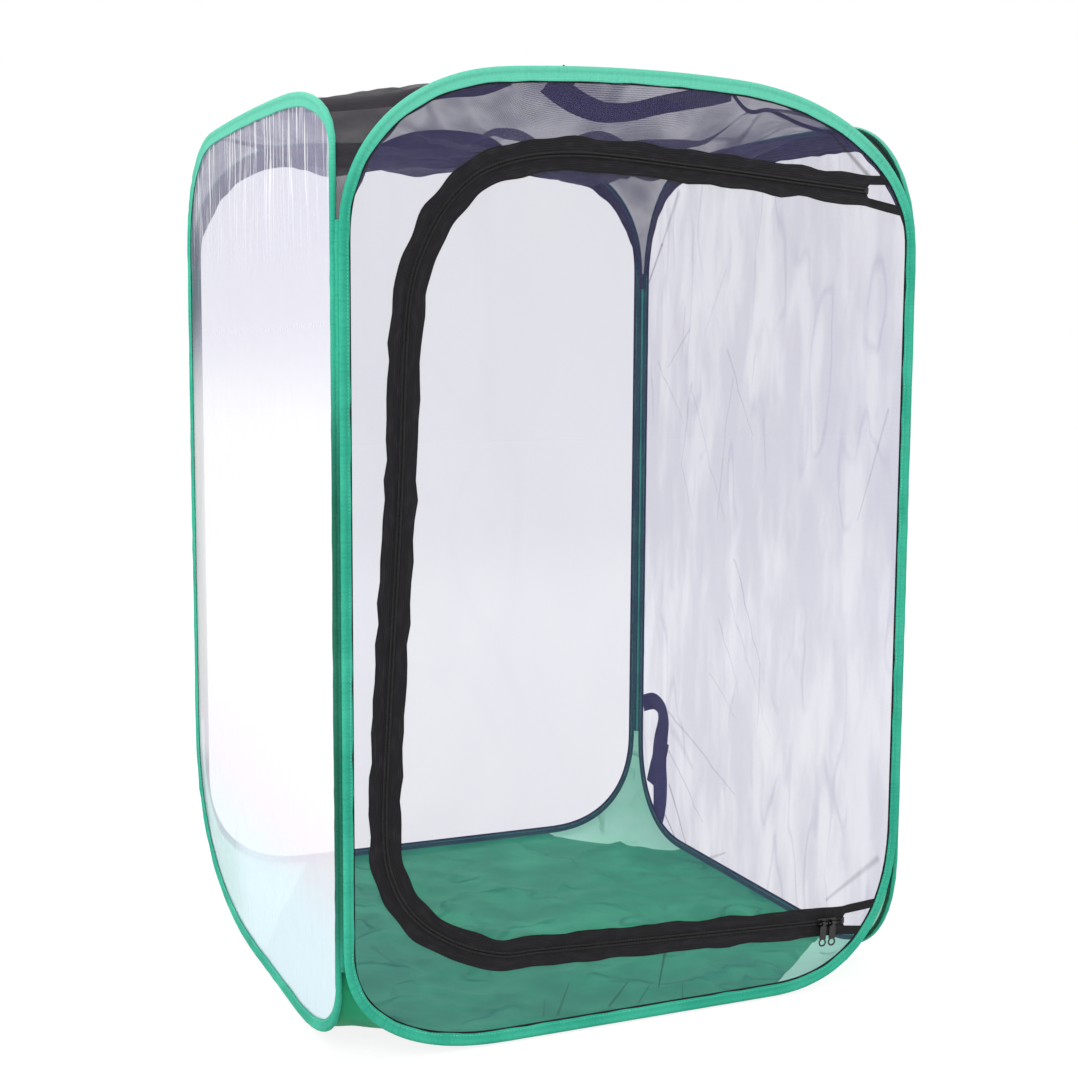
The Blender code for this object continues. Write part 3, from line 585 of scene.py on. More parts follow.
def fine_mesh(name, cover, colour, wrinkles, way, wrinkle_scale, pressed=()):
    """Fine knitted mesh: thin dark threads over open gaps, a little closer along its wrinkles, with
    a painted highlight along them.
    """
    made, tree, bsdf = new_material(name)
    coords = tree.nodes.new("ShaderNodeTexCoord")
    uv, at = coords.outputs["UV"], coords.outputs["Object"]
    threads = group_node(tree, WEAVE, Vector=uv, Pitch=NET_PITCH, Thread=0.22)
    pulled = stretched(tree, at, way)
    folds = group_node(tree, CRUMPLE, Vector=pulled, Scale=wrinkle_scale, Sharpness=9.0)
    base = mul_add(tree, threads["Cover"], cover * 0.36, cover * 0.81)
    lines = mul(tree, folds["Creases"], wrinkles)
    broad = mapped(tree, folds["Folds"], 0.35, 0.65, 1.0 - wrinkles * 0.5, 1.0 + wrinkles * 0.5)
    alpha = mul(tree, base, mul_add(tree, lines, 0.8, broad))
    doubled = 0.0
    for start, end, width, depth in pressed:
        fold = group_node(tree, FOLD, Vector=uv, From=(*start, 0), To=(*end, 0), Width=width)
        doubled = mul_add(tree, fold["Mask"], depth, doubled)
    alpha = maths(tree, "ADD", alpha, doubled)
    tree.links.new(maths(tree, "MINIMUM", alpha, 1.0), bsdf.inputs["Alpha"])
    # Painted highlight: the colour is lighter along the wrinkle lines.
    tint = mix_colour(tree, lines, colour, tuple(min(1.0, c * 1.2) for c in colour))
    if pressed:
        tint = mix_colour(tree, mul(tree, doubled, 4.0, clamp=True), tint, (0.060, 0.055, 0.085))
    tree.links.new(tint, bsdf.inputs["Base Color"])
    plain(bsdf, Roughness=0.85, Specular_IOR_Level=0.1)
    return made


def narrow_weave(name, colour, ribs, rib_pitch, roughness=0.7):
    """Black woven tape or webbing, with ribs along or across it and pale, rubbed flecks."""
    made, tree, bsdf = new_material(name)
    uv = tree.nodes.new("ShaderNodeTexCoord").outputs["UV"]
    threads = group_node(tree, WEAVE, Vector=uv, Pitch=0.0009)
    split = add_node(tree, "ShaderNodeSeparateXYZ", {0: uv})
    cycle = maths(tree, "DIVIDE", split.outputs[ribs], rib_pitch)
    rib = maths(tree, "SINE", mul(tree, cycle, 2 * math.pi))
    worn = noise(tree, stretched(tree, uv, (60.0, 200.0, 1.0)), 1.0, 4.0)
    height = mul_add(tree, rib, 0.5, mul(tree, threads["Height"], 0.4))
    height = mul_add(tree, worn, 0.8, height)
    bump(tree, bsdf, height, 0.0004)
    light = tuple(c * 2.0 + 0.004 for c in colour)
    fleck = mapped(tree, mul_add(tree, rib, 0.08, worn), 0.45, 0.8)
    tree.links.new(mix_colour(tree, fleck, colour, light), bsdf.inputs["Base Color"])
    plain(bsdf, Roughness=roughness, Sheen_Weight=0.04, Specular_IOR_Level=0.18)
    return made


def moulded(name, colour, roughness, metallic=0.0, coat=0.0, grain=900.0):
    made, tree, bsdf = new_material(name)
    at = tree.nodes.new("ShaderNodeTexCoord").outputs["Object"]
    speck = noise(tree, at, grain, 2.0)
    rough = mapped(tree, speck, 0.3, 0.7, roughness * 0.8, min(1.0, roughness * 1.25))
    tree.links.new(rough, bsdf.inputs["Roughness"])
    light = tuple(min(1.0, c * 1.5 + 0.01) for c in colour)
    wear = mapped(tree, noise(tree, at, grain * 0.3, 3.0), 0.55, 0.75)
    tree.links.new(mix_colour(tree, wear, colour, light), bsdf.inputs["Base Color"])
    bump(tree, bsdf, speck, 0.00005)
    plain(bsdf, Metallic=metallic, Coat_Weight=coat)
    return made


def vinyl(name):
    """Clear vinyl: ruffled and thin at its gathered top, with painted highlights on the ruffles,
    milky lower, bluish over the floor, and with a painted reflection of the green cloth in its low
    ripples.
    """
    made, tree, bsdf = new_material(name)
    at = tree.nodes.new("ShaderNodeTexCoord").outputs["Object"]
    split = add_node(tree, "ShaderNodeSeparateXYZ", {0: at})
    back, up = split.outputs[1], split.outputs[2]
    ruffles = noise(tree, stretched(tree, at, (1.0, 230.0, 8.0)), 1.0, 3.0)
    broad = noise(tree, stretched(tree, at, (1.0, 9.0, 2.5)), 1.0, 2.0)
    gathered = mapped(tree, up, 0.69, 0.83)
    height = mul(tree, ruffles, mul_add(tree, gathered, 0.25, 0.02))
    bump(tree, bsdf, mul_add(tree, broad, 0.5, height), 0.006)
    # Painted highlight: the ruffles' crests are whiter and less clear.
    ruffle_highlights = mul(tree, mapped(tree, ruffles, 0.51, 0.64), gathered)
    level = mul_add(tree, ruffles, 0.030, up)
    over_floor = mapped(tree, level, 0.21, 0.11)
    thin_top = mapped(tree, up, 0.54, 0.75)
    far_edge = mapped(tree, back, 0.225, 0.262)
    green_edge = mul(tree, mapped(tree, back, 0.02, 0.14), mapped(tree, level, 0.20, 0.16))
    alpha = mapped(tree, thin_top, 0.0, 1.0, 0.80, 0.30)
    alpha = mul_add(tree, gathered, 0.10, alpha)
    alpha = mul_add(tree, ruffle_highlights, 0.42, alpha)
    alpha = mul_add(tree, far_edge, -0.10, alpha)
    alpha = mul_add(tree, green_edge, -0.22, alpha)
    alpha = mul_add(tree, over_floor, 0.06, alpha, clamp=True)
    tree.links.new(maths(tree, "MINIMUM", alpha, 0.90), bsdf.inputs["Alpha"])
    rosy = mapped(tree, level, 0.34, 0.14)
    colour = mix_colour(tree, rosy, (0.920, 0.910, 0.935), (0.880, 0.800, 0.925))
    colour = mix_colour(tree, thin_top, colour, (0.52, 0.50, 0.76))
    colour = mix_colour(tree, ruffle_highlights, colour, (0.95, 0.94, 0.98))
    colour = mix_colour(tree, over_floor, colour, (0.74, 0.90, 1.0))
    # Painted reflection: teal streaks on the low ripples stand for the green cloth seen in them;
    # the vinyl has no such marks.
    marks = mapped(tree, noise(tree, stretched(tree, at, (1.0, 420.0, 36.0)), 1.0, 2.0), 0.64, 0.72)
    marks = mul(tree, marks, mapped(tree, level, 0.150, 0.120))
    marks = mul(tree, marks, mapped(tree, broad, 0.40, 0.60, 0.15, 0.75))
    tree.links.new(mix_colour(tree, marks, colour, (0.28, 0.50, 0.48)), bsdf.inputs["Base Color"])
    plain(bsdf, Roughness=0.16, IOR=1.45)
    return made


def binding(name, dark, light, *fades):
    """The green tape round a hoop, whose colour fades to others between two heights, which paint
    light and shade on it.
    """
    return polyester(name, dark, light, 26.0, 0.10, True, fades)


# Painted light: the binding is lighter towards its top, where more light falls.
painted_top_light = (0.77, 0.885, (0.150, 0.66, 0.47))
# Painted shade: a dark copy of the binding for the left hoop's front side and the front-left seam
# strip, which are in shade; it fades back to mid green low and high.
painted_shade_ends = [(*heights, (0.040, 0.45, 0.30)) for heights in ((0.15, 0.06), (0.52, 0.66))]
green_binding = binding("green_binding", (0.028, 0.40, 0.26), (0.060, 0.54, 0.36), painted_top_light)
shaded_binding = binding("shaded_binding", (0.012, 0.075, 0.052), (0.030, 0.130, 0.092))
painted_shade_binding = binding("painted_shade_binding", (0.010, 0.130, 0.080), (0.020, 0.190, 0.120), *painted_shade_ends)
green_floor = polyester("green_floor", (0.012, 0.29, 0.130), (0.036, 0.45, 0.215), 16.0, 0.65)
# Painted light: a lighter copy of the floor cloth for the gussets, standing in for light that
# shines through the thin cloth.
painted_backlit_gusset = polyester("painted_backlit_gusset", (0.40, 0.90, 0.64), (0.56, 0.96, 0.78), 20.0, 0.75)
green_thread = moulded("green_thread", (0.18, 0.72, 0.55), 0.6)
NET, ROOF_NET = (0.165, 0.15, 0.42), (0.046, 0.042, 0.050)
panel_net = fine_mesh("panel_net", 0.162, NET, 0.10, (1.0, 1.0, 0.5), 9.0)
front_net = fine_mesh("front_folded_net", 0.182, NET, 0.10, (1.0, 1.0, 0.5), 9.0, FRONT_FOLDS)
wrinkled_net = fine_mesh("wrinkled_net", 0.238, NET, 0.66, (1.0, 2.0, 0.55), 12.0, RIGHT_FOLDS)
roof_net = fine_mesh("roof_net", 0.78, ROOF_NET, 0.26, (1.0, 1.0, 1.0), 14.0)
black_tape = narrow_weave("black_tape", (0.010, 0.009, 0.011), 1, 0.0021)
black_hem = narrow_weave("black_hem", (0.034, 0.032, 0.026), 1, 0.0016)
black_webbing = narrow_weave("black_webbing", (0.028, 0.027, 0.019), 0, 0.0022)
zip_teeth = moulded("zip_teeth", (0.012, 0.012, 0.013), 0.32)
black_lacquer = moulded("black_lacquer", (0.016, 0.016, 0.018), 0.28, 0.5, 0.4)
spring_steel = moulded("spring_steel", (0.50, 0.51, 0.53), 0.3, 1.0)
crimped_metal = moulded("crimped_metal", (0.62, 0.62, 0.63), 0.42, 1.0)
clear_vinyl = vinyl("clear_vinyl")


# Hoops


class Hoop:
    """The outer edge of one hoop, drawn finely, with normals that point into the panel."""

    def __init__(self, name):
        self.name = name
        low_right, top_right, top_left, low_left, bow = HOOPS[name]
        w, h, low = HALF_WIDTH, HEIGHT, HOOP_LOW
        angle = np.arange(CORNER_STEPS + 1) / CORNER_STEPS * math.pi / 2
        power = 2 / ROUNDNESS
        over, up = np.clip(np.cos(angle), 0, 1) ** power, np.clip(np.sin(angle), 0, 1) ** power

        def corner(run, rise, side, level, way, reverse):
            x = side * (w - run + run * over)
            y = level + way * (rise - rise * up)
            made = np.stack([x, y], 1)
            return made[::-1] if reverse else made

        pieces = [
            np.array([(0.0, low)]),
            corner(*low_right, 1, low, 1, True),
            corner(*top_right, 1, h, -1, False),
            corner(*top_left, -1, h, -1, True),
            corner(*low_left, -1, low, 1, False),
        ]
        marks = []
        points = [pieces[0]]
        for k in range(1, 5):
            start = points[-1][-1]
            end = pieces[k][0]
            gap = max(2, int(np.linalg.norm(end - start) / RUN_STEP))
            run = start + (end - start) * (np.arange(1, gap) / gap)[:, None]
            points += [run, pieces[k]]
            first = sum(len(p) for p in points) - len(pieces[k])
            marks.append((first, first + CORNER_STEPS))
        start, end = points[-1][-1], pieces[0][0]
        gap = int(np.linalg.norm(end - start) / RUN_STEP)
        points.append(start + (end - start) * (np.arange(1, gap) / gap)[:, None])
        p = np.vstack(points)
        lifted = np.clip((p[:, 1] / h - 0.5) * 2, 0, 1)
        p[:, 1] += bow * lifted**2 * (1 - (p[:, 0] / w) ** 2)
        self.points = p
        self.normals = normals_of(p, True)
        self.low_right, self.top_right, self.top_left, self.low_left = marks
        back = p - np.roll(p, 1, 0)
        ahead = np.roll(p, -1, 0) - p
        turn = np.abs(np.cross(back, ahead)) / np.linalg.norm(back, axis=1)
        turn = np.maximum(turn / np.linalg.norm(ahead, axis=1), 1e-4)
        self.radii = (np.linalg.norm(back, axis=1) + np.linalg.norm(ahead, axis=1)) / 2 / turn
        reach = np.where(self.normals[:, 1] < 0, LEG_TOP, LEG_BOTTOM)
        legs = LEG_SIDE + (reach - LEG_SIDE) * self.normals[:, 1] ** 2
        self.legs = np.minimum(legs, 0.7 * self.radii - BINDING_R)
        self.length = cumulative(p)

    def line(self, inward):
        """The outline moved inward from the wire's centre line, in panel coordinates."""
        return self.points + self.normals * (BINDING_R + np.asarray(inward))[..., None]

    def world(self, inward, out, rows=slice(None)):
        line = self.line(inward)[rows]
        return place(self.name, line[:, 0], line[:, 1], out)


hoops = {name: Hoop(name) for name in HOOPS}


def bind_hoop(hoop):
    """Folded tape round the wire: a soft round nose and two legs, pillowed at the stitching."""
    n = len(hoop.points)
    s = hoop.length
    inner_start = math.asin(0.0007 / BINDING_BORE)
    outer_start = math.asin(0.0014 / BINDING_R)
    # Each point: inward from the wire, or a share of the leg where it is on one, and outward
    inner = np.linspace(inner_start, 2 * math.pi - inner_start, 9)
    outer = np.linspace(2 * math.pi - outer_start, outer_start, 13)
    section = [(BINDING_BORE * math.cos(a), BINDING_BORE * math.sin(a), 0) for a in inner]
    section += [(0.5, -0.0007, 1), (1.0, -0.00075, 1), (1.0, -0.00125, 1), (0.88, -0.0014, 1)]
    section += [(0.68, -0.00165, 1), (0.5, -0.0015, 1)]
    section += [(BINDING_R * math.cos(a), BINDING_R * math.sin(a), 0) for a in outer]
    section += [(0.5, 0.0015, 1), (0.68, 0.00165, 1), (0.88, 0.0014, 1), (1.0, 0.00125, 1)]
    section += [(1.0, 0.00075, 1), (0.5, 0.0007, 1)]
    wave = 0.0004 * ripple(s, 0 * s, 0.05, 3 + TURNS[hoop.name], way=0.0, spread=0.4)
    legs = hoop.legs + wave
    rings = np.empty((n, len(section), 3))
    for k, (r, t, on_leg) in enumerate(section):
        inward = legs * r if on_leg else np.full(n, r)
        puff = 1 + 0.10 * ripple(s, 0 * s + k * 0.01, 0.02, 8, way=0.0, spread=0.4)
        rings[:, k] = hoop.world(inward, t * (puff if abs(t) > 0.0013 else 1))
    around = np.linspace(0, 0.034, len(section))
    made = sweep(f"{hoop.name}_bound_edge", rings, green_binding, True, s, around)
    made.data.materials.append(shaded_binding)
    shaded = np.zeros((n, len(section)), np.int32)
    shaded[:, 10:19] = 1
    if hoop.name == "left":
        # Painted shade: along the left hoop's front side, the half of the nose that faces the front
        # panel takes the dark copy of the binding.
        made.data.materials.append(painted_shade_binding)
        along, up = hoop.points[:, 0], hoop.points[:, 1]
        beside = (along > 0.26) & (up > 0.05) & (up < 0.68)
        shaded[np.ix_(beside, range(17, 25))] = 2
    made.data.polygons.foreach_set("material_index", shaded.ravel())
    settle(made, f"{hoop.name}_panel", "green_polyester", f"{hoop.name}_binding")


for hoop in hoops.values():
    bind_hoop(hoop)


def net_border(hoop):
    """The net's black taped edge, which shows as a thin line along the inside of the binding."""
    inner, outer = hoop.legs - 0.0016, hoop.legs + 0.0013
    section = [(inner, -0.0005), (inner, 0.0005), (outer, 0.0006), (outer, -0.0006)]
    rings = np.stack([hoop.world(inward, out) for inward, out in section], 1)
    around = np.linspace(0, 0.006, 4)
    made = sweep(f"{hoop.name}_net_border", rings, black_tape, True, hoop.length, around, 30)
    settle(made, f"{hoop.name}_panel", "hem_tape")


for name in ("front", "right", "back"):
    net_border(hoops[name])


# Rows of stitches and zip teeth, repeated along a path by Geometry Nodes


def repeat_tree():
    """Small rounded pieces at even steps along a curve, turned along it."""
    tree = bpy.data.node_groups.new("repeat_along_path", "GeometryNodeTree")
    sockets = [("Geometry", "INPUT", "Geometry")]
    sockets += [(label, "INPUT", "Float") for label in ("Pitch", "Length", "Width", "Height")]
    sockets += [("Material", "INPUT", "Material"), ("Geometry", "OUTPUT", "Geometry")]
    for label, way, kind in sockets:
        tree.interface.new_socket(label, in_out=way, socket_type="NodeSocket" + kind)

    def add(kind, inputs=None, **settings):
        return add_node(tree, kind, inputs, **settings).outputs

    given = add("NodeGroupInput")
    line = {"Curve": given["Geometry"], "Length": given["Pitch"]}
    spaced = add("GeometryNodeResampleCurve", line, mode="LENGTH")
    bead = add("GeometryNodeMeshUVSphere", {"Segments": 6, "Rings": 4, "Radius": 0.5})
    size = {"X": given["Length"], "Y": given["Width"], "Z": given["Height"]}
    tangent = {"Vector": add("GeometryNodeInputTangent")[0]}
    turned = add("FunctionNodeAlignRotationToVector", tangent, axis="X")
    normal = {"Rotation": turned[0], "Vector": add("GeometryNodeInputNormal")[0]}
    faced = add("FunctionNodeAlignRotationToVector", normal, axis="Z", pivot_axis="X")
    each = {"Points": spaced["Curve"], "Instance": bead["Mesh"], "Rotation": faced[0]}
    each["Scale"] = add("ShaderNodeCombineXYZ", size)[0]
    copies = add("GeometryNodeInstanceOnPoints", each)
    real = add("GeometryNodeRealizeInstances", {0: copies[0]})
    smoothed = add("GeometryNodeSetShadeSmooth", {0: real[0]})
    look = {"Geometry": smoothed[0], "Material": given["Material"]}
    add("NodeGroupOutput", {0: add("GeometryNodeSetMaterial", look)[0]})
    return tree


REPEAT = repeat_tree()


def repeat_on(name, lines, pitch, size, material):
    """One mesh of small pieces along several lines."""
    curve = bpy.data.curves.new(name, "CURVE")
    curve.dimensions = "3D"
    for line, closed in lines:
        spline = curve.splines.new("POLY")
        spline.points.add(len(line) - 1)
        spline.points.foreach_set("co", np.hstack([line, np.ones((len(line), 1))]).ravel())
        spline.use_cyclic_u = closed
    holder = bpy.data.objects.new(name + "_path", curve)
    bpy.context.scene.collection.objects.link(holder)
    repeat = holder.modifiers.new("repeat", "NODES")
    repeat.node_group = REPEAT
    values = {"Pitch": pitch, "Length": size[0], "Width": size[1], "Height": size[2]}
    values["Material"] = material
    for item in REPEAT.interface.items_tree:
        if item.in_out == "INPUT" and item.name in values:
            repeat[item.identifier] = values[item.name]
    graph = bpy.context.evaluated_depsgraph_get()
    data = bpy.data.meshes.new_from_object(holder.evaluated_get(graph), depsgraph=graph)
    bpy.data.objects.remove(holder)
    data.name = name
    made = bpy.data.objects.new(name, data)
    bpy.context.scene.collection.objects.link(made)
    return made


for name, hoop in hoops.items():
    rows = [(hoop.world(hoop.legs - 0.0019, out), True) for out in (0.00142, -0.00142)]
    stitches = repeat_on(f"{name}_stitching", rows, STITCH_PITCH, STITCH, green_thread)
    settle(stitches, f"{name}_panel", "green_polyester")


# Hem tapes


for name, hoop in hoops.items():
    first, last = hoop.top_right[0], hoop.top_left[1]
    rows = np.arange(first, last + 1)
    from_end = np.minimum(rows - first, last - rows)
    steps_in = np.minimum(from_end, CORNER_STEPS) / CORNER_STEPS
    width = HEM_NARROW + (HEM_WIDE[name] - HEM_NARROW) * steps_in**1.5
    width = width + 0.0008 * ripple(hoop.length[rows], 0 * rows, 0.04, 21, way=0.0, spread=0.3)
    width = width * (0.12 + 0.88 * smooth(from_end / 7))
    far = np.minimum(SHEET_INSET + width, 0.75 * hoop.radii[rows] - BINDING_R)
    full = np.zeros(len(hoop.points))
    # Each point: share of the tape's width and outward
    section = [(0, -0.0018), (0.08, -0.00168), (0.92, -0.00168), (1, -0.0018)]
    section += [(1, -0.0023), (0.92, -0.00245), (0.5, -0.0026), (0.08, -0.00245), (0, -0.0023)]
    rings = np.empty((len(rows), len(section), 3))
    for k, (share, out) in enumerate(section):
        full[rows] = SHEET_INSET + (far - SHEET_INSET) * share
        rings[:, k] = hoop.world(full, out, rows)
    around = np.linspace(0, 0.044, len(section))
    hem = sweep(f"{name}_roof_hem", rings, black_hem, False, hoop.length[rows], around, 40)
    settle(hem, f"{name}_panel", "hem_tape", f"{name}_hem_tape")


# Flat side panels


def panel_lift(name, amount, seed, way=None, spread=math.pi, sharp=0.0):
    """A panel's surface: soft waves of this amount, and sharp folds, that fade to its edge."""
    hoop = hoops[name]
    edge = resample(np.vstack([hoop.line(SHEET_INSET), hoop.line(SHEET_INSET)[:1]]), EDGE_POINTS)

    def lift(flat):
        near = smooth(distance_to(flat, edge) / 0.06)
        out = amount * ripple(flat[:, 0], flat[:, 1], 0.22, seed, way=way, spread=spread)
        if sharp:
            fold = creases(flat[:, 0], flat[:, 1], 0.16, seed + 50, 4, way=way, spread=spread)
            out = out - sharp * fold
        return place(name, flat[:, 0], flat[:, 1], out * near)

    return lift


def side_panel(piece, name, node, material, slot, lift, spacing=FINE_STEP):
    outline = hoops[name].line(SHEET_INSET)
    made = cloth(piece, outline, spacing, lift, material, False)
    settle(made, f"{name}_panel", slot, node)


lift = panel_lift("back", 0.0012, 5)
side_panel("back_net", "back", "back_mesh", panel_net, "black_mesh", lift, BACK_STEP)
lift = panel_lift("right", 0.0016, 7, way=0.5, spread=0.7, sharp=0.003)
side_panel("right_net", "right", "right_mesh", wrinkled_net, "black_mesh", lift)
lift = panel_lift("left", 0.0014, 9, way=1.4, spread=0.8, sharp=0.0005)
side_panel("clear_window", "left", "left_window", clear_vinyl, "clear_vinyl", lift)


# The zip's path and the cloth on both sides of it


def along_zip(x):
    """A point of the zip's straight lower run."""
    return (x, ZIP_LOW[1] + (x - ZIP_LOW[0]) * math.tan(ZIP_SLOPE))


knots = [along_zip(ZIP_LOW[0]), along_zip(ZIP_BEND + 0.03), along_zip(ZIP_BEND)]
knots += list(ZIP_TURNS)
curved = smooth_path(knots[1:], 10)
straight = resample(np.array(knots[:2]), 30)[:-1]
zip_path = np.vstack([straight, curved])
zip_n = -normals_of(zip_path)
low_way = zip_path[0] - zip_path[1]
low_way = low_way / np.linalg.norm(low_way)
top_way = zip_path[-1] - zip_path[-2]
top_way = top_way / np.linalg.norm(top_way)


def first_hit(loop, start, way):
    """Where a ray first meets a loop: the segment before the point, and the point."""
    across = np.array((-way[1], way[0]))
    for i, a in enumerate(loop):
        b = loop[(i + 1) % len(loop)]
        da, db = np.dot(a - start, across), np.dot(b - start, across)
        if (da < 0) != (db < 0):
            hit = a + (b - a) * (da / (da - db))
            if np.dot(hit - start, way) > 0:
                return i, hit


front = hoops["front"]
front_loop = front.line(SHEET_INSET)
panel_edge = zip_path - zip_n * MESH_FROM_ZIP
door_side = zip_path + zip_n * MESH_FROM_ZIP
door_low_i, door_low_hit = first_hit(front_loop, door_side[0], low_way)
door_top_i, door_top_hit = first_hit(front_loop, door_side[-1], top_way)
surround = [door_top_hit[None], front_loop[door_top_i + 1 :], front_loop[: door_low_i + 1]]
surround = np.vstack(surround + [door_low_hit[None], door_side[:1], panel_edge, door_side[-1:]])
door_edge = front_loop[door_low_i + 1 : door_top_i + 1]
door_outline = np.vstack([door_low_hit[None], door_edge, door_top_hit[None], door_side[::-1]])
front_edge = resample(np.vstack([front_loop, front_loop[:1]]), EDGE_POINTS)


def front_lift(flat):
    near = smooth(distance_to(flat, front_edge) / 0.05)
    near = near * smooth(distance_to(flat, zip_path) / 0.05)
    wave = 0.0010 * ripple(flat[:, 0], flat[:, 1], 0.20, 15)
    return place("front", flat[:, 0], flat[:, 1], wave * near)


for name, outline, material, body, nodes, flat in (
    ("front_net", surround, front_net, "front_panel", ["front_mesh"], SURROUND_FLAT),
    ("door_net", door_outline, panel_net, "door", ["door_mesh", "hinge_strip"], DOOR_FLAT),
):
    net = cloth(name, outline, FRONT_STEP, front_lift, material, False)
    settle(net, body, "black_mesh", *nodes)


def tape_line(side):
    """The middle of one tape, with its two ends running on under the binding."""
    middle = zip_path + zip_n * side * (TAPE_NEAR + TAPE_WIDE / 2)
    tails = []
    for start, way, across in (
        (middle[0], low_way, zip_n[0] * side),
        (middle[-1], top_way, zip_n[-1] * side),
    ):
        tail = [start]
        for k in range(1, 60):
            lean = 0.10 * min(k / 4, 1)
            step = way * math.cos(lean) + across * math.sin(lean)
            tail.append(tail[-1] + step * 0.0015)
            if distance_to(tail[-1][None], front.line(0.0))[0] < 0.0050:
                break
        tails.append(np.array(tail[1:]))
    return np.vstack([tails[0][::-1], middle, tails[1]]), len(tails[0]), len(tails[1])


def zip_tape(name, side):
    """One tape. Past the chain its inner half is turned under, so that the two ends part."""
    line, before, after = tape_line(side)
    s = cumulative(line)
    across = -normals_of(line) * side
    tuck = np.minimum(s, s[-1] - s)
    under = 1 - smooth((tuck - 0.004) / 0.012)
    chain = smooth((tuck - 0.02) / 0.03)
    past = np.maximum(s[before] - s, s - s[len(s) - after - 1])
    parted = 0.0062 * smooth(past / 0.005)
    wobble = (0.0011 * ripple(s, 0 * s, 0.055, 31 + side, way=0.0, spread=0.3)) * chain
    flutter = np.abs(0.0016 * ripple(s, 0 * s, 0.085, 41 + side, way=0.0, spread=0.3) * chain)
    # Across the tape, out and back, with the height there in millimetres
    half = [-1, -0.8, -0.55, -0.2, 0.2, 0.6, 0.9, 1.0]
    d = np.array(half + half[::-1])
    top = np.array([1.55, 1.75, 1.5, 1.45, 1.45, 1.5, 1.7, 1.45, 0.9] + [0.7] * 6 + [0.8])
    rings = np.empty((len(line), len(d), 3))
    for k, (dk, tk) in enumerate(zip(d, top)):
        outer = (dk + 1) / 2
        reach = dk * TAPE_WIDE / 2 + wobble * outer + parted * (1 - outer)
        p = line + across * reach[:, None]
        out = tk / 1000 + flutter * outer**2
        out = out * (1 - under) + (0.00045 + 0.00022 * (tk > 1)) * under
        rings[:, k] = place("front", p[:, 0], p[:, 1], out)
    v = np.concatenate([(d[:8] + 1) * TAPE_WIDE / 2, 0.04 - (d[8:] + 1) * TAPE_WIDE / 2])
    return sweep(name, rings, black_tape, False, s, v, 50)


# The panel's side of the zip and the door's, each with the nodes that it shows
ZIP_SIDES = (
    (-1, "panel_side", "front_panel", ["outer"]),
    (1, "door_side", "door", ["inner", "top_end", "bottom_end"]),
)
for side, own, body, ends in ZIP_SIDES:
    tape = zip_tape(f"{own}_tape", side)
    settle(tape, body, "zipper_tape", *[f"zip_tape_{end}" for end in ends])
for side, own, body, ends in ZIP_SIDES:
    line = zip_path + zip_n * side * 0.0015
    row = place("front", line[:, 0], line[:, 1], 0.0024)
    teeth = repeat_on(f"{own}_teeth", [(row, False)], TOOTH_PITCH, TOOTH, zip_teeth)
    settle(teeth, body, "zip_coil", *[f"zip_coil_{end}" for end in ends])


# The roof: four quarters, each held by its own panel


def crown(across, bow):
    """The rise of a hoop's bowed top at this distance from its middle."""
    return bow * np.clip(1 - (across / HALF_WIDTH) ** 2, 0, 1)


def corner_ends(top):
    """Where each hoop's curve ends on its level run: {(panel, side): point in the plan}."""
    ends = {}
    for name, hoop in hoops.items():
        for side in (1, -1):
            if top:
                row = hoop.top_right[1] if side > 0 else hoop.top_left[0]
            else:
                row = hoop.low_right[0] if side > 0 else hoop.low_left[1]
            ends[name, side] = hoop.world(SEAM_DOWN, -SEAM_IN, slice(row, row + 1))[0]
    return ends


# Each corner, the panels before and after it, and whether it opens as the cage folds
CORNERS = (
    ("front_left", "left", "front", True),
    ("front_right", "front", "right", False),
    ("back_right", "right", "back", True),
    ("back_left", "back", "left", False),
)
roof_ends = corner_ends(True)
ROOF_BULGE = {"front_left": 0.0120, "front_right": 0.004, "back_right": 0.003, "back_left": 0.003}


def roof_corners(x, y):
    """How much the corner seams hold the roof up, from 0 to 1, and its slack just inside them."""
    held, slack = 0 * x, 0 * x
    for corner, first, second, _ in CORNERS:
        a, b = roof_ends[first, 1][:2], roof_ends[second, -1][:2]
        run = b - a
        inward = -(a + b) / np.linalg.norm(a + b)
        share = ((x - a[0]) * run[0] + (y - a[1]) * run[1]) / np.dot(run, run)
        deep = np.maximum((x - a[0]) * inward[0] + (y - a[1]) * inward[1], 0)
        beside = np.clip(np.abs(share - 0.5) - 0.5, 0, None) * np.linalg.norm(run)
        held = np.maximum(held, np.exp(-((deep / 0.042) ** 2) - (beside / 0.05) ** 2))
        swell = np.sin(math.pi * np.clip(share, 0, 1))
        slack = slack + ROOF_BULGE[corner] * swell * (deep / 0.020) * np.exp(1 - deep / 0.020)
    return held, slack


def roof_z(x, y):
    """The roof's height: between the four bowed hoops, sagging inside and lower at the handle."""
    from_sides = np.maximum(PLANE - SEAM_IN - np.abs(x), 0) + 1e-5
    from_ends = np.maximum(PLANE - SEAM_IN - np.abs(y), 0) + 1e-5
    share = from_sides / (from_sides + from_ends)
    front_bow, right_bow, back_bow, left_bow = (HOOPS[name][4] for name in TURNS)
    end_bow = (front_bow + back_bow) / 2 + (back_bow - front_bow) / 2 * y / PLANE
    side_bow = (right_bow + left_bow) / 2 + (right_bow - left_bow) / 2 * x / PLANE
    level = HEIGHT - BINDING_R - SEAM_DOWN
    level = level + crown(x, end_bow) * share + crown(y, side_bow) * (1 - share)
    held, slack = roof_corners(x, y)
    sag = ROOF_SAG * (1 - np.exp(-np.minimum(from_sides, from_ends) / ROOF_FALL))
    behind = y + PLANE
    pocket = smooth(behind / 0.045) * (1 - smooth((behind - 0.06) / 0.09))
    pocket = ROOF_POCKET * pocket * (1 - smooth((np.abs(x - FRONT_HANDLE_X) - 0.1) / 0.075))
    return level - sag * (1 - held) + slack - pocket


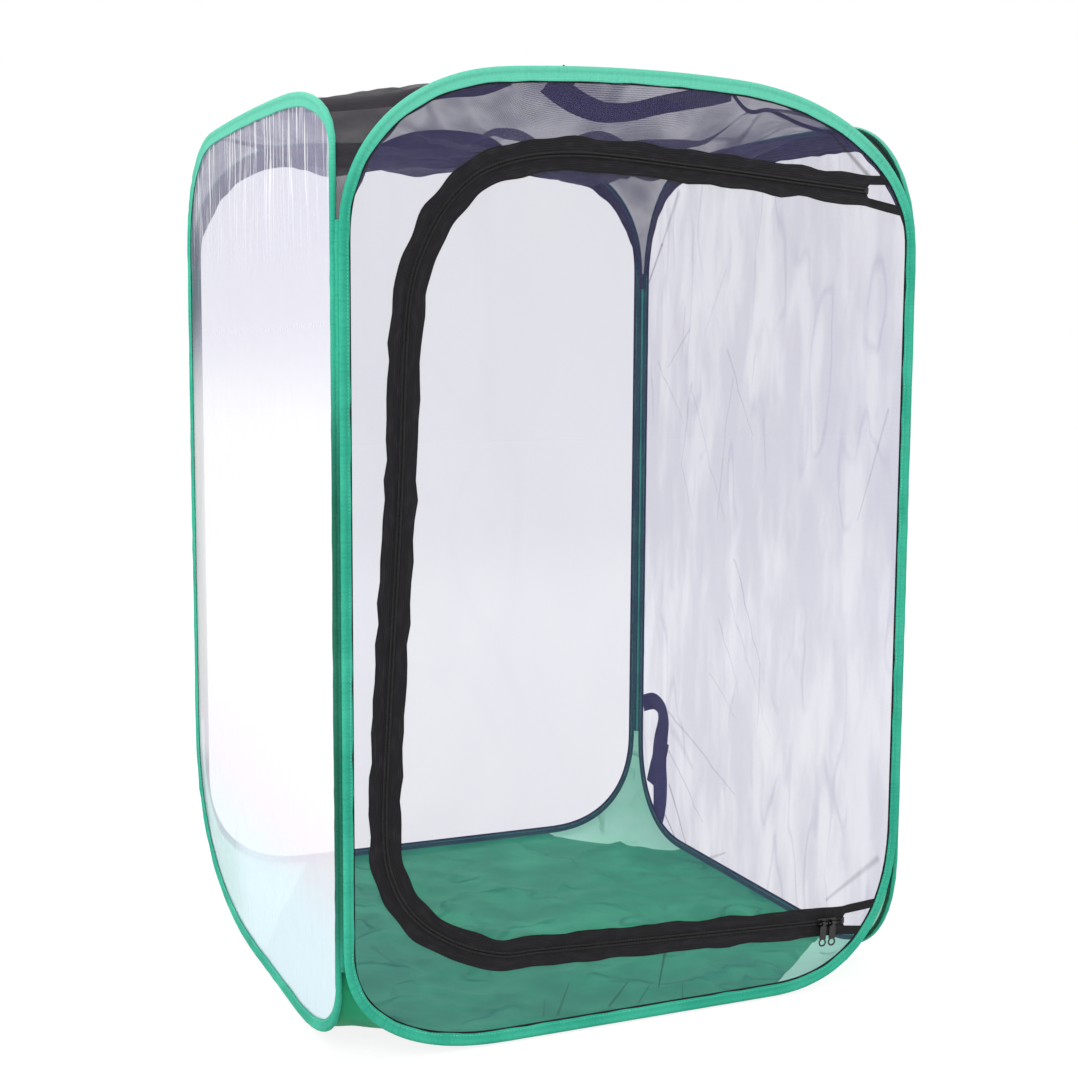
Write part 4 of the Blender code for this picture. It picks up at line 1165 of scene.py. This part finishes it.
def roof_lift(flat):
    """The roof's surface, with folds round its middle and pleats that fan from its corners."""
    x, y = flat[:, 0], flat[:, 1]
    near = PLANE - np.maximum(np.abs(x), np.abs(y))
    inner = smooth((near - 0.02) / 0.08) * (1 - 0.9 * roof_corners(x, y)[0])
    angle = np.arctan2(y, x)
    fold = 0.006 * np.sin(12 * angle + 1.0) * smooth((near - 0.05) / 0.06) * inner
    for k, (cx, cy) in enumerate(((0.2, 0.2), (-0.2, 0.2), (-0.2, -0.2), (0.2, -0.2))):
        away = np.hypot(x - cx * 1.3, y - cy * 1.3)
        spoke = np.sin(np.arctan2(y - cy * 1.3, x - cx * 1.3) * 34 + k)
        fold = fold + 0.0022 * spoke * np.exp(-((away - 0.12) ** 2) / 0.006) * inner
    fold = fold + 0.0020 * ripple(x, y, 0.06, 61) * inner
    fold = fold * smooth(np.hypot(x, y) / 0.05)
    return np.stack([x, y, roof_z(x, y) + fold], 1)


def floor_lift(flat):
    """The floor's surface: crumpled, and rising to the hoops at its edge."""
    x, y = flat[:, 0], flat[:, 1]
    soft = 0.0012 + 0.0011 * ripple(x, y, 0.11, 71)
    fold = 0.0042 * creases(x, y, 0.20, 73, 5) + 0.0030 * creases(x, y, 0.11, 74, 5)
    edge = np.maximum(PLANE - SEAM_IN - np.maximum(np.abs(x), np.abs(y)), 0)
    rise = (HOOP_LOW + BINDING_R + SEAM_DOWN - 0.0007) * np.exp(-edge / 0.006)
    return np.stack([x, y, 0.0007 + rise + np.clip(soft + fold, 0, 1) * smooth(edge / 0.03)], 1)


PANELS = ("front", "right", "back", "left")


def fan_corners(ends, first, second):
    """Where a fan meets the quarters: on the first panel, inside, and on the second panel."""
    b, a = ends[first, 1][:2], ends[second, -1][:2]
    corner = np.sign(a + b) * HINGE
    deep = max(FAN_DEEP, np.linalg.norm((a + b) / 2 - corner) + 0.02)
    inside_point = corner * (1 - deep / np.linalg.norm(corner))
    points = []
    for end in (b, a):
        along = int(np.argmin(np.abs(end)))
        point = end.copy()
        away = max(FAN_SIDE, abs(end[along] - corner[along]) + 0.03)
        point[along] = corner[along] - np.sign(corner[along]) * away
        points.append(point)
    return points[0], inside_point, points[1]


COVERS = {
    "roof": (roof_lift, roof_net, "black_mesh", "roof_mesh", "stretched"),
    "floor": (floor_lift, green_floor, "green_polyester", "floor_cloth", "laid"),
}


def towards_panel(piece, name):
    """The piece rides on its panel, with a mesh of its own."""
    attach(piece, f"{name}_panel")
    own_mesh(piece)


def quarters(kind):
    """The roof or floor in four parts, cut back at the two corners that open."""
    lift, material, slot, node, held = COVERS[kind]
    ends = corner_ends(kind == "roof")
    for k, name in enumerate(PANELS):
        after = PANELS[(k + 1) % 4]
        before = PANELS[k - 1]
        a, b = ends[name, -1][:2], ends[name, 1][:2]
        right_mid = (b + ends[after, -1][:2]) / 2
        left_mid = (a + ends[before, 1][:2]) / 2
        if name in ("front", "back"):
            _, left_mid, a = fan_corners(ends, before, name)
        else:
            b, right_mid, _ = fan_corners(ends, name, after)
        outline = np.array([a, b, right_mid, (0.0, 0.0), left_mid])
        piece = cloth(f"{kind}_{name}_quarter", outline, CLOTH_STEP, lift, material)
        towards_panel(piece, name)
        if k == 0:
            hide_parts(node)


for kind in COVERS:
    quarters(kind)


# Gussets that close the corners, and the fans beside the two that open


def seam_line(hoop, side, top, level=None):
    """A hoop's seam at one corner, from where the hoops part to the end of its curve."""
    if top:
        first, last = hoop.top_right if side > 0 else hoop.top_left
        rows = np.arange(first, last + 1) if side > 0 else np.arange(last, first - 1, -1)
    else:
        first, last = hoop.low_right if side > 0 else hoop.low_left
        rows = np.arange(last, first - 1, -1) if side > 0 else np.arange(first, last + 1)
    line = hoop.world(SEAM_DOWN, -SEAM_IN)[rows]
    if level is not None and abs(line[0, 2] - level) > 1e-4:
        line = np.vstack([[line[0, 0], line[0, 1], level], line])
    return line


def gusset_points(first, second, top, rows=34):
    """A gusset's points from the corner to its chord, which is the roof's or floor's edge."""
    a_line, b_line = seam_line(hoops[first], 1, top), seam_line(hoops[second], -1, top)
    starts = (a_line[0, 2], b_line[0, 2])
    level = min(starts) if top else max(starts)
    a_line = resample(seam_line(hoops[first], 1, top, level), rows)
    b_line = resample(seam_line(hoops[second], -1, top, level), rows)
    middle = (a_line[0] + b_line[0]) / 2
    inward = -middle * (1, 1, 0) / np.linalg.norm(middle[:2])
    chord = b_line[-1] - a_line[-1]
    reach = np.linalg.norm(chord)
    half = max(1, int(round(np.linalg.norm(chord[:2]) / 2 / CLOTH_STEP)))
    v = np.linspace(0, 1, 2 * half + 1)
    last = a_line[-1] + chord * v[:, None]
    lift = roof_lift if top else floor_lift
    drop = last[:, 2] - lift(last[:, :2])[:, 2]
    swell = np.sin(math.pi * v)
    made = np.empty((rows, len(v), 3))
    for k in range(rows):
        a, b = a_line[k], b_line[k]
        grown = k / (rows - 1)
        size = np.linalg.norm(b - a) / reach
        flat = a + (b - a) * v[:, None]
        if top:
            way = np.array((0, 0, -grown)) + inward * (1 - grown)
            way = way / np.linalg.norm(way)
            row = flat + way * (drop * size)[:, None]
            pleat = 0.0025 * size * swell * np.sin(v * 40 + grown * 9) * (1 - grown)
            row = row + inward * pleat[:, None]
        else:
            slack = 0.10 * np.linalg.norm(b - a) * swell * math.sin(math.pi * grown)
            row = flat - np.array((0, 0, 1.0)) * (drop * size * grown)[:, None]
            fold = creases(v * 0.3 + grown * 0.1, v * 0 + grown, 0.22, 81, 3)
            pleat = 0.10 * size * swell * fold
            row = row + inward * (slack - 0.05 * pleat * (1 - grown))[:, None]
        made[k] = row
    made[-1, :, 2] = lift(last[:, :2])[:, 2]
    return made


def corner_blend(piece):
    """Bakes the piece's transform into its mesh, so that it stays where it is."""
    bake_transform(piece)


def corner_parts(points, first, second, opens):
    """A corner's cloth: whole where the corner opens, in two halves where it closes."""
    if opens:
        return [("", None, points)]
    half = points.shape[-2] // 2
    left, right = points[..., : half + 1, :], points[..., half:, :]
    return [(f"_{first}_half", first, left), (f"_{second}_half", second, right)]


def hang(piece, body):
    """A half goes with its own panel, and a whole corner stays where it is, with its transform
    baked in.
    """
    if body:
        towards_panel(piece, body)
    else:
        corner_blend(piece)


def fans(kind):
    """The roof or floor at the two corners that open, one piece for each that stays where it is."""
    lift, material, slot, _, held = COVERS[kind]
    ends = corner_ends(kind == "roof")
    for corner, first, second, opens in CORNERS:
        if not opens:
            continue
        b, a = ends[first, 1][:2], ends[second, -1][:2]
        on_first, middle, on_second = fan_corners(ends, first, second)
        outline = np.array([a, on_second, middle, on_first, b, (a + b) / 2])
        piece = cloth(f"{kind}_{corner}_fan", outline, CLOTH_STEP, lift, material)
        corner_blend(piece)


def surface_area(points):
    """The area of a grid of points, as two triangles in each cell."""
    a, b = points[1:, :-1] - points[:-1, :-1], points[:-1, 1:] - points[:-1, :-1]
    c, d = points[1:, 1:] - points[1:, :-1], points[1:, 1:] - points[:-1, 1:]
    size = np.linalg.norm
    return float((size(np.cross(a, b), axis=-1) + size(np.cross(c, d), axis=-1)).sum() / 2)


def gussets(kind):
    top = kind == "roof"
    for corner, first, second, opens in CORNERS:
        points = gusset_points(first, second, top)
        # The front-left floor gusset keeps the floor's colour; the others take the lighter copy
        # with painted light through the cloth.
        material = roof_net if top else green_floor if corner == "front_left" else painted_backlit_gusset
        for k, (ending, body, part) in enumerate(corner_parts(points, first, second, opens)):
            piece = sheet_grid(f"{kind}_corner_{corner}{ending}", part, material)
            hang(piece, body)
            area = surface_area(part)
            if k == 0:
                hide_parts(f"{'top' if top else 'floor'}_gusset_{corner}")
        if top:
            corner_tape(corner, first, second, opens, points[-1])


def corner_tape(corner, first, second, opens, chord):
    """The black tape that binds the seam between the roof and its corner."""
    run = chord[-1] - chord[0]
    side = np.array((-run[1], run[0], 0)) / np.linalg.norm(run[:2])
    deep = -0.0108 if corner == "front_left" else -0.0036
    section = [(-0.0006, 0.0004), (0.0006, 0.0004), (0.0006, deep), (-0.0006, deep)]
    around = np.array((0, 0.0012, 0.0124, 0.0136))
    for ending, body, line in corner_parts(chord, first, second, opens):
        rings = np.stack([line + side * out + (0, 0, down) for out, down in section], 1)
        name = f"roof_corner_tape_{corner}{ending}"
        piece = sweep(name, rings, black_hem, False, cumulative(line), around, 30)
        hang(piece, body)


for kind in COVERS:
    fans(kind)
for kind in COVERS:
    gussets(kind)


# Cloth strips that sew neighbouring hoops together along their straight sides


def seam_strip(corner, first, second, opens):
    """The strip at one corner, proud in its middle and thin."""
    a, b = hoops[first], hoops[second]
    low = max(a.points[a.low_right[1], 1], b.points[b.low_left[0], 1]) - 0.02
    high = min(a.points[a.top_right[0], 1], b.points[b.top_left[1], 1]) + 0.02
    up = np.linspace(low, high, 60)
    side = HALF_WIDTH - BINDING_R
    tug = 0.0003 * ripple(up, 0 * up, 0.03, 91, way=0.0, spread=0.3)
    start = place(first, side + 0.0015, up, -0.0012)
    end = place(second, -side - 0.0015, up, -0.0012)
    inward = -(start + end) * (1, 1, 0)
    inward = inward / np.linalg.norm(inward, axis=1)[:, None]
    # Each point: share of the way from hoop to hoop, and inward in millimetres
    section = [(0, 0), (0.25, 0.3), (0.5, 0.6), (0.75, 0.3), (1, 0)]
    section += [(1, -1.6), (0.5, -2.0), (0, -1.6)]
    rings = np.empty((len(up), len(section), 3))
    for k, (share, out) in enumerate(section):
        rings[:, k] = start + (end - start) * share + inward * (out / 1000 + tug)[:, None]
    # Painted shade: the front-left strip takes the dark copy of the binding.
    material = painted_shade_binding if corner == "front_left" else green_binding
    around = np.linspace(0, 0.012, len(section))
    piece = sweep(f"seam_strip_{corner}", rings, material, False, up, around)
    if opens or corner == "back_left":
        corner_blend(piece)
    else:
        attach(piece, f"{first}_panel")


for corner_sides in CORNERS:
    seam_strip(*corner_sides)


# Handles and the side strap


def webbing_bands(name, bands, width, body, node):
    """Webbing of this width along one or more paths, each with the way its face looks."""
    tubes = [ribbon_rings(path, facing, width, WEBBING_THICK) for path, facing in bands]
    settle(sweeps(name, tubes, black_webbing, sharp=50), body, "webbing", node)


def across_roof(knots, at, slope, turn, lean):
    """A path given as along, away from the hoop and proud, on a plane that slopes from the hoop."""
    flat = smooth_path(knots, 8)
    share = np.linspace(0, 1, len(flat))
    c, s = math.cos(slope), math.sin(slope)
    along, away, proud = flat.T
    path = np.stack([along, away * c - proud * s, away * s + proud * c], 1)
    tip = slope + lean * np.sin(share * math.pi) ** 2
    facing = np.stack([0 * share, -np.sin(tip), np.cos(tip)], 1)
    ct, st = math.cos(turn), math.sin(turn)
    spin = np.array(((ct, -st, 0), (st, ct, 0), (0, 0, 1)))
    return path @ spin.T + np.array(at), facing @ spin.T


front_at, front_slope = (FRONT_HANDLE_X, -0.2942, 0.8975), math.radians(-45)
front_tab = [(-0.0690, -0.0030, 0.0), (-0.0735, 0.0060, 0.0002)]
front_tab += [(-0.0775, 0.0160, 0.0004), (-0.0800, 0.0240, 0.0)]
front_run = [(-0.0870, 0.0105, -0.0017), (-0.0700, 0.0215, -0.0020), (-0.0480, 0.0325, -0.0017)]
front_run += [(-0.0230, 0.0392, -0.0012), (0.0040, 0.0365, -0.0008), (0.0300, 0.0268, -0.0012)]
front_run += [(0.0560, 0.0185, -0.0017), (0.0790, 0.0125, -0.0012), (0.0990, 0.0060, 0.0)]
bands = [across_roof(front_tab, front_at, front_slope, 0.0, 0.0)]
bands.append(across_roof(front_run, front_at, front_slope, 0.0, 0.12))
webbing_bands("front_carry_handle", bands, HANDLE_WIDE, "front_handle", "front_handle")

back_at, back_slope = (0.012, 0.2942, 0.8925), math.radians(15)
back_run = [(-0.0765, -0.0010, -0.0035), (-0.0740, 0.0100, -0.0045), (-0.0640, 0.0220, -0.0040)]
back_run += [(-0.0460, 0.0310, -0.0010), (-0.0200, 0.0350, 0.0), (0.0060, 0.0360, 0.0)]
back_run += [(0.0300, 0.0340, -0.0008), (0.0500, 0.0290, -0.0020), (0.0660, 0.0210, -0.0040)]
back_run += [(0.0745, 0.0100, -0.0045), (0.0765, -0.0010, -0.0035)]
bands = [across_roof(back_run, back_at, back_slope, math.pi, 0.95)]
webbing_bands("back_carry_handle", bands, HANDLE_WIDE, "back_handle", "back_handle")

# The strap beside the right panel and the flap at its end: along, up and out of the panel
strap_knots = [(0.2940, 0.1730, 0.0045), (0.2744, 0.1790, 0.0100), (0.2570, 0.1735, 0.0120)]
strap_knots += [(0.2506, 0.1606, 0.0125), (0.2515, 0.1480, 0.0125), (0.2560, 0.1330, 0.0125)]
strap_knots += [(0.2590, 0.1160, 0.0125), (0.2590, 0.0950, 0.0120), (0.2545, 0.0740, 0.0110)]
strap_knots += [(0.2510, 0.0520, 0.0095), (0.2500, 0.0300, 0.0075), (0.2500, 0.0150, 0.0050)]
strap_tilts = (0.0, 0.0, 0.08, 0.14, 0.25, 0.42, 0.50, 0.50, 0.50, 0.42, 0.25, 0.0)
flap_knots = [(0.2610, 0.125, 0.0165), (0.2650, 0.105, 0.0150)]
flap_knots += [(0.2700, 0.085, 0.0115), (0.2740, 0.066, 0.0080)]
flap_tilts = (0.5, 0.5, 0.3, 0.1)


def beside_panel(knots, tilts):
    """A path in the right panel's own coordinates, whose face turns by these tilts."""
    flat = smooth_path(knots, 8)
    tilt = np.interp(np.linspace(0, 1, len(flat)), np.linspace(0, 1, len(tilts)), tilts)
    facing = np.stack([np.cos(tilt), np.sin(tilt), 0 * tilt], 1)
    return place("right", flat[:, 0], flat[:, 1], flat[:, 2]), facing


bands = [beside_panel(strap_knots, strap_tilts), beside_panel(flap_knots, flap_tilts)]
webbing_bands("side_carry_strap", bands, STRAP_WIDE, "right_panel", "side_strap")


# Materials for the frame's own pieces


def dress(node, material):
    """The node's own mesh with this finish."""
    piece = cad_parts[node]
    if not piece.material_slots:
        piece.data.materials.append(material)
    for held in piece.material_slots:
        held.material = material


for name in HOOPS:
    dress(f"{name}_hoop_wire", spring_steel)
    dress(f"{name}_ferrule", crimped_metal)
for side in ("left", "right"):
    dress(f"slider_{side}", black_lacquer)
    dress(f"pull_{side}", black_lacquer)
for end in ("top", "bottom"):
    dress(f"zip_{end}_stop", black_lacquer)


# Floor, light and camera


def by_ray(tree, indirect, direct, output):
    """One look for light that bounces, and another where the camera sees it or through glass."""
    rays = tree.nodes.new("ShaderNodeLightPath").outputs
    seen = maths(tree, "MAXIMUM", rays["Is Camera Ray"], rays["Is Glossy Ray"])
    seen = maths(tree, "MAXIMUM", seen, rays["Is Transmission Ray"])
    mixed = add_node(tree, "ShaderNodeMixShader", {0: seen, 1: indirect, 2: direct})
    add_node(tree, output, {"Surface": mixed.outputs[0]})


def grey(value):
    return {"Color": (value, value, value, 1)}


def stage_material():
    made = bpy.data.materials.new("studio_floor")
    made.use_nodes = True
    tree = made.node_tree
    tree.nodes.clear()
    paper = add_node(tree, "ShaderNodeBsdfDiffuse", grey(0.82))
    shown = add_node(tree, "ShaderNodeBsdfDiffuse", grey(0.20))
    glow = add_node(tree, "ShaderNodeEmission", {**grey(1), "Strength": 0.865})
    both = add_node(tree, "ShaderNodeAddShader", {0: shown.outputs[0], 1: glow.outputs[0]})
    by_ray(tree, paper.outputs[0], both.outputs[0], "ShaderNodeOutputMaterial")
    return made


GROUND_Z, GROUND_REACH = -0.0006, 9
square = ((-1, -1), (1, -1), (1, 1), (-1, 1))
ground = [(GROUND_REACH * x, GROUND_REACH * y, GROUND_Z) for x, y in square]
new_mesh("studio_ground", ground, [(0, 1, 2, 3)], stage_material())

world = bpy.data.worlds.new("studio")
bpy.context.scene.world = world
world.use_nodes = True
sky = world.node_tree
sky.nodes.clear()
lit = add_node(sky, "ShaderNodeBackground", {**grey(1), "Strength": 0.72})
seen_sky = add_node(sky, "ShaderNodeBackground", {**grey(1), "Strength": 1.0})
by_ray(sky, lit.outputs[0], seen_sky.outputs[0], "ShaderNodeOutputWorld")


def soft_box(name, at, towards, size, watts):
    light = bpy.data.lights.new(name, "AREA")
    light.shape = "RECTANGLE"
    light.size, light.size_y = size
    light.energy = watts
    made = bpy.data.objects.new(name, light)
    bpy.context.scene.collection.objects.link(made)
    made.location = at
    made.rotation_euler = (Vector(towards) - Vector(at)).to_track_quat("-Z", "Y").to_euler()


soft_box("side_light", (-2.6, -0.5, 1.2), (-0.3, 0, 0.5), (1.2, 1.8), 18)
soft_box("key_light", (-1.6, -2.2, 2.6), (0, 0, 0.5), (1.6, 1.6), 30)
soft_box("fill_light", (2.4, -1.2, 1.6), (0, 0, 0.45), (1.4, 1.8), 16)
soft_box("rear_light", (0.6, 2.6, 2.2), (0, 0, 0.3), (1.8, 1.4), 26)

CAMERA_AT, CAMERA_DEGREES, LENS_MM = (-0.7220, -1.7198, 0.6541), (23.389, 6.531, 0.326), 56.57
lens = bpy.data.cameras.new("camera")
lens.sensor_width = 36.0
lens.lens = LENS_MM
camera = bpy.data.objects.new("camera", lens)
bpy.context.scene.collection.objects.link(camera)
heading, pitch, roll = (math.radians(angle) for angle in CAMERA_DEGREES)
camera.matrix_world = (
    Matrix.Translation(CAMERA_AT)
    @ Matrix.Rotation(-heading, 4, "Z")
    @ Matrix.Rotation(math.pi / 2 - pitch, 4, "X")
    @ Matrix.Rotation(roll, 4, "Z")
)
bpy.context.scene.camera = camera
bpy.context.scene.view_settings.view_transform = "Standard"
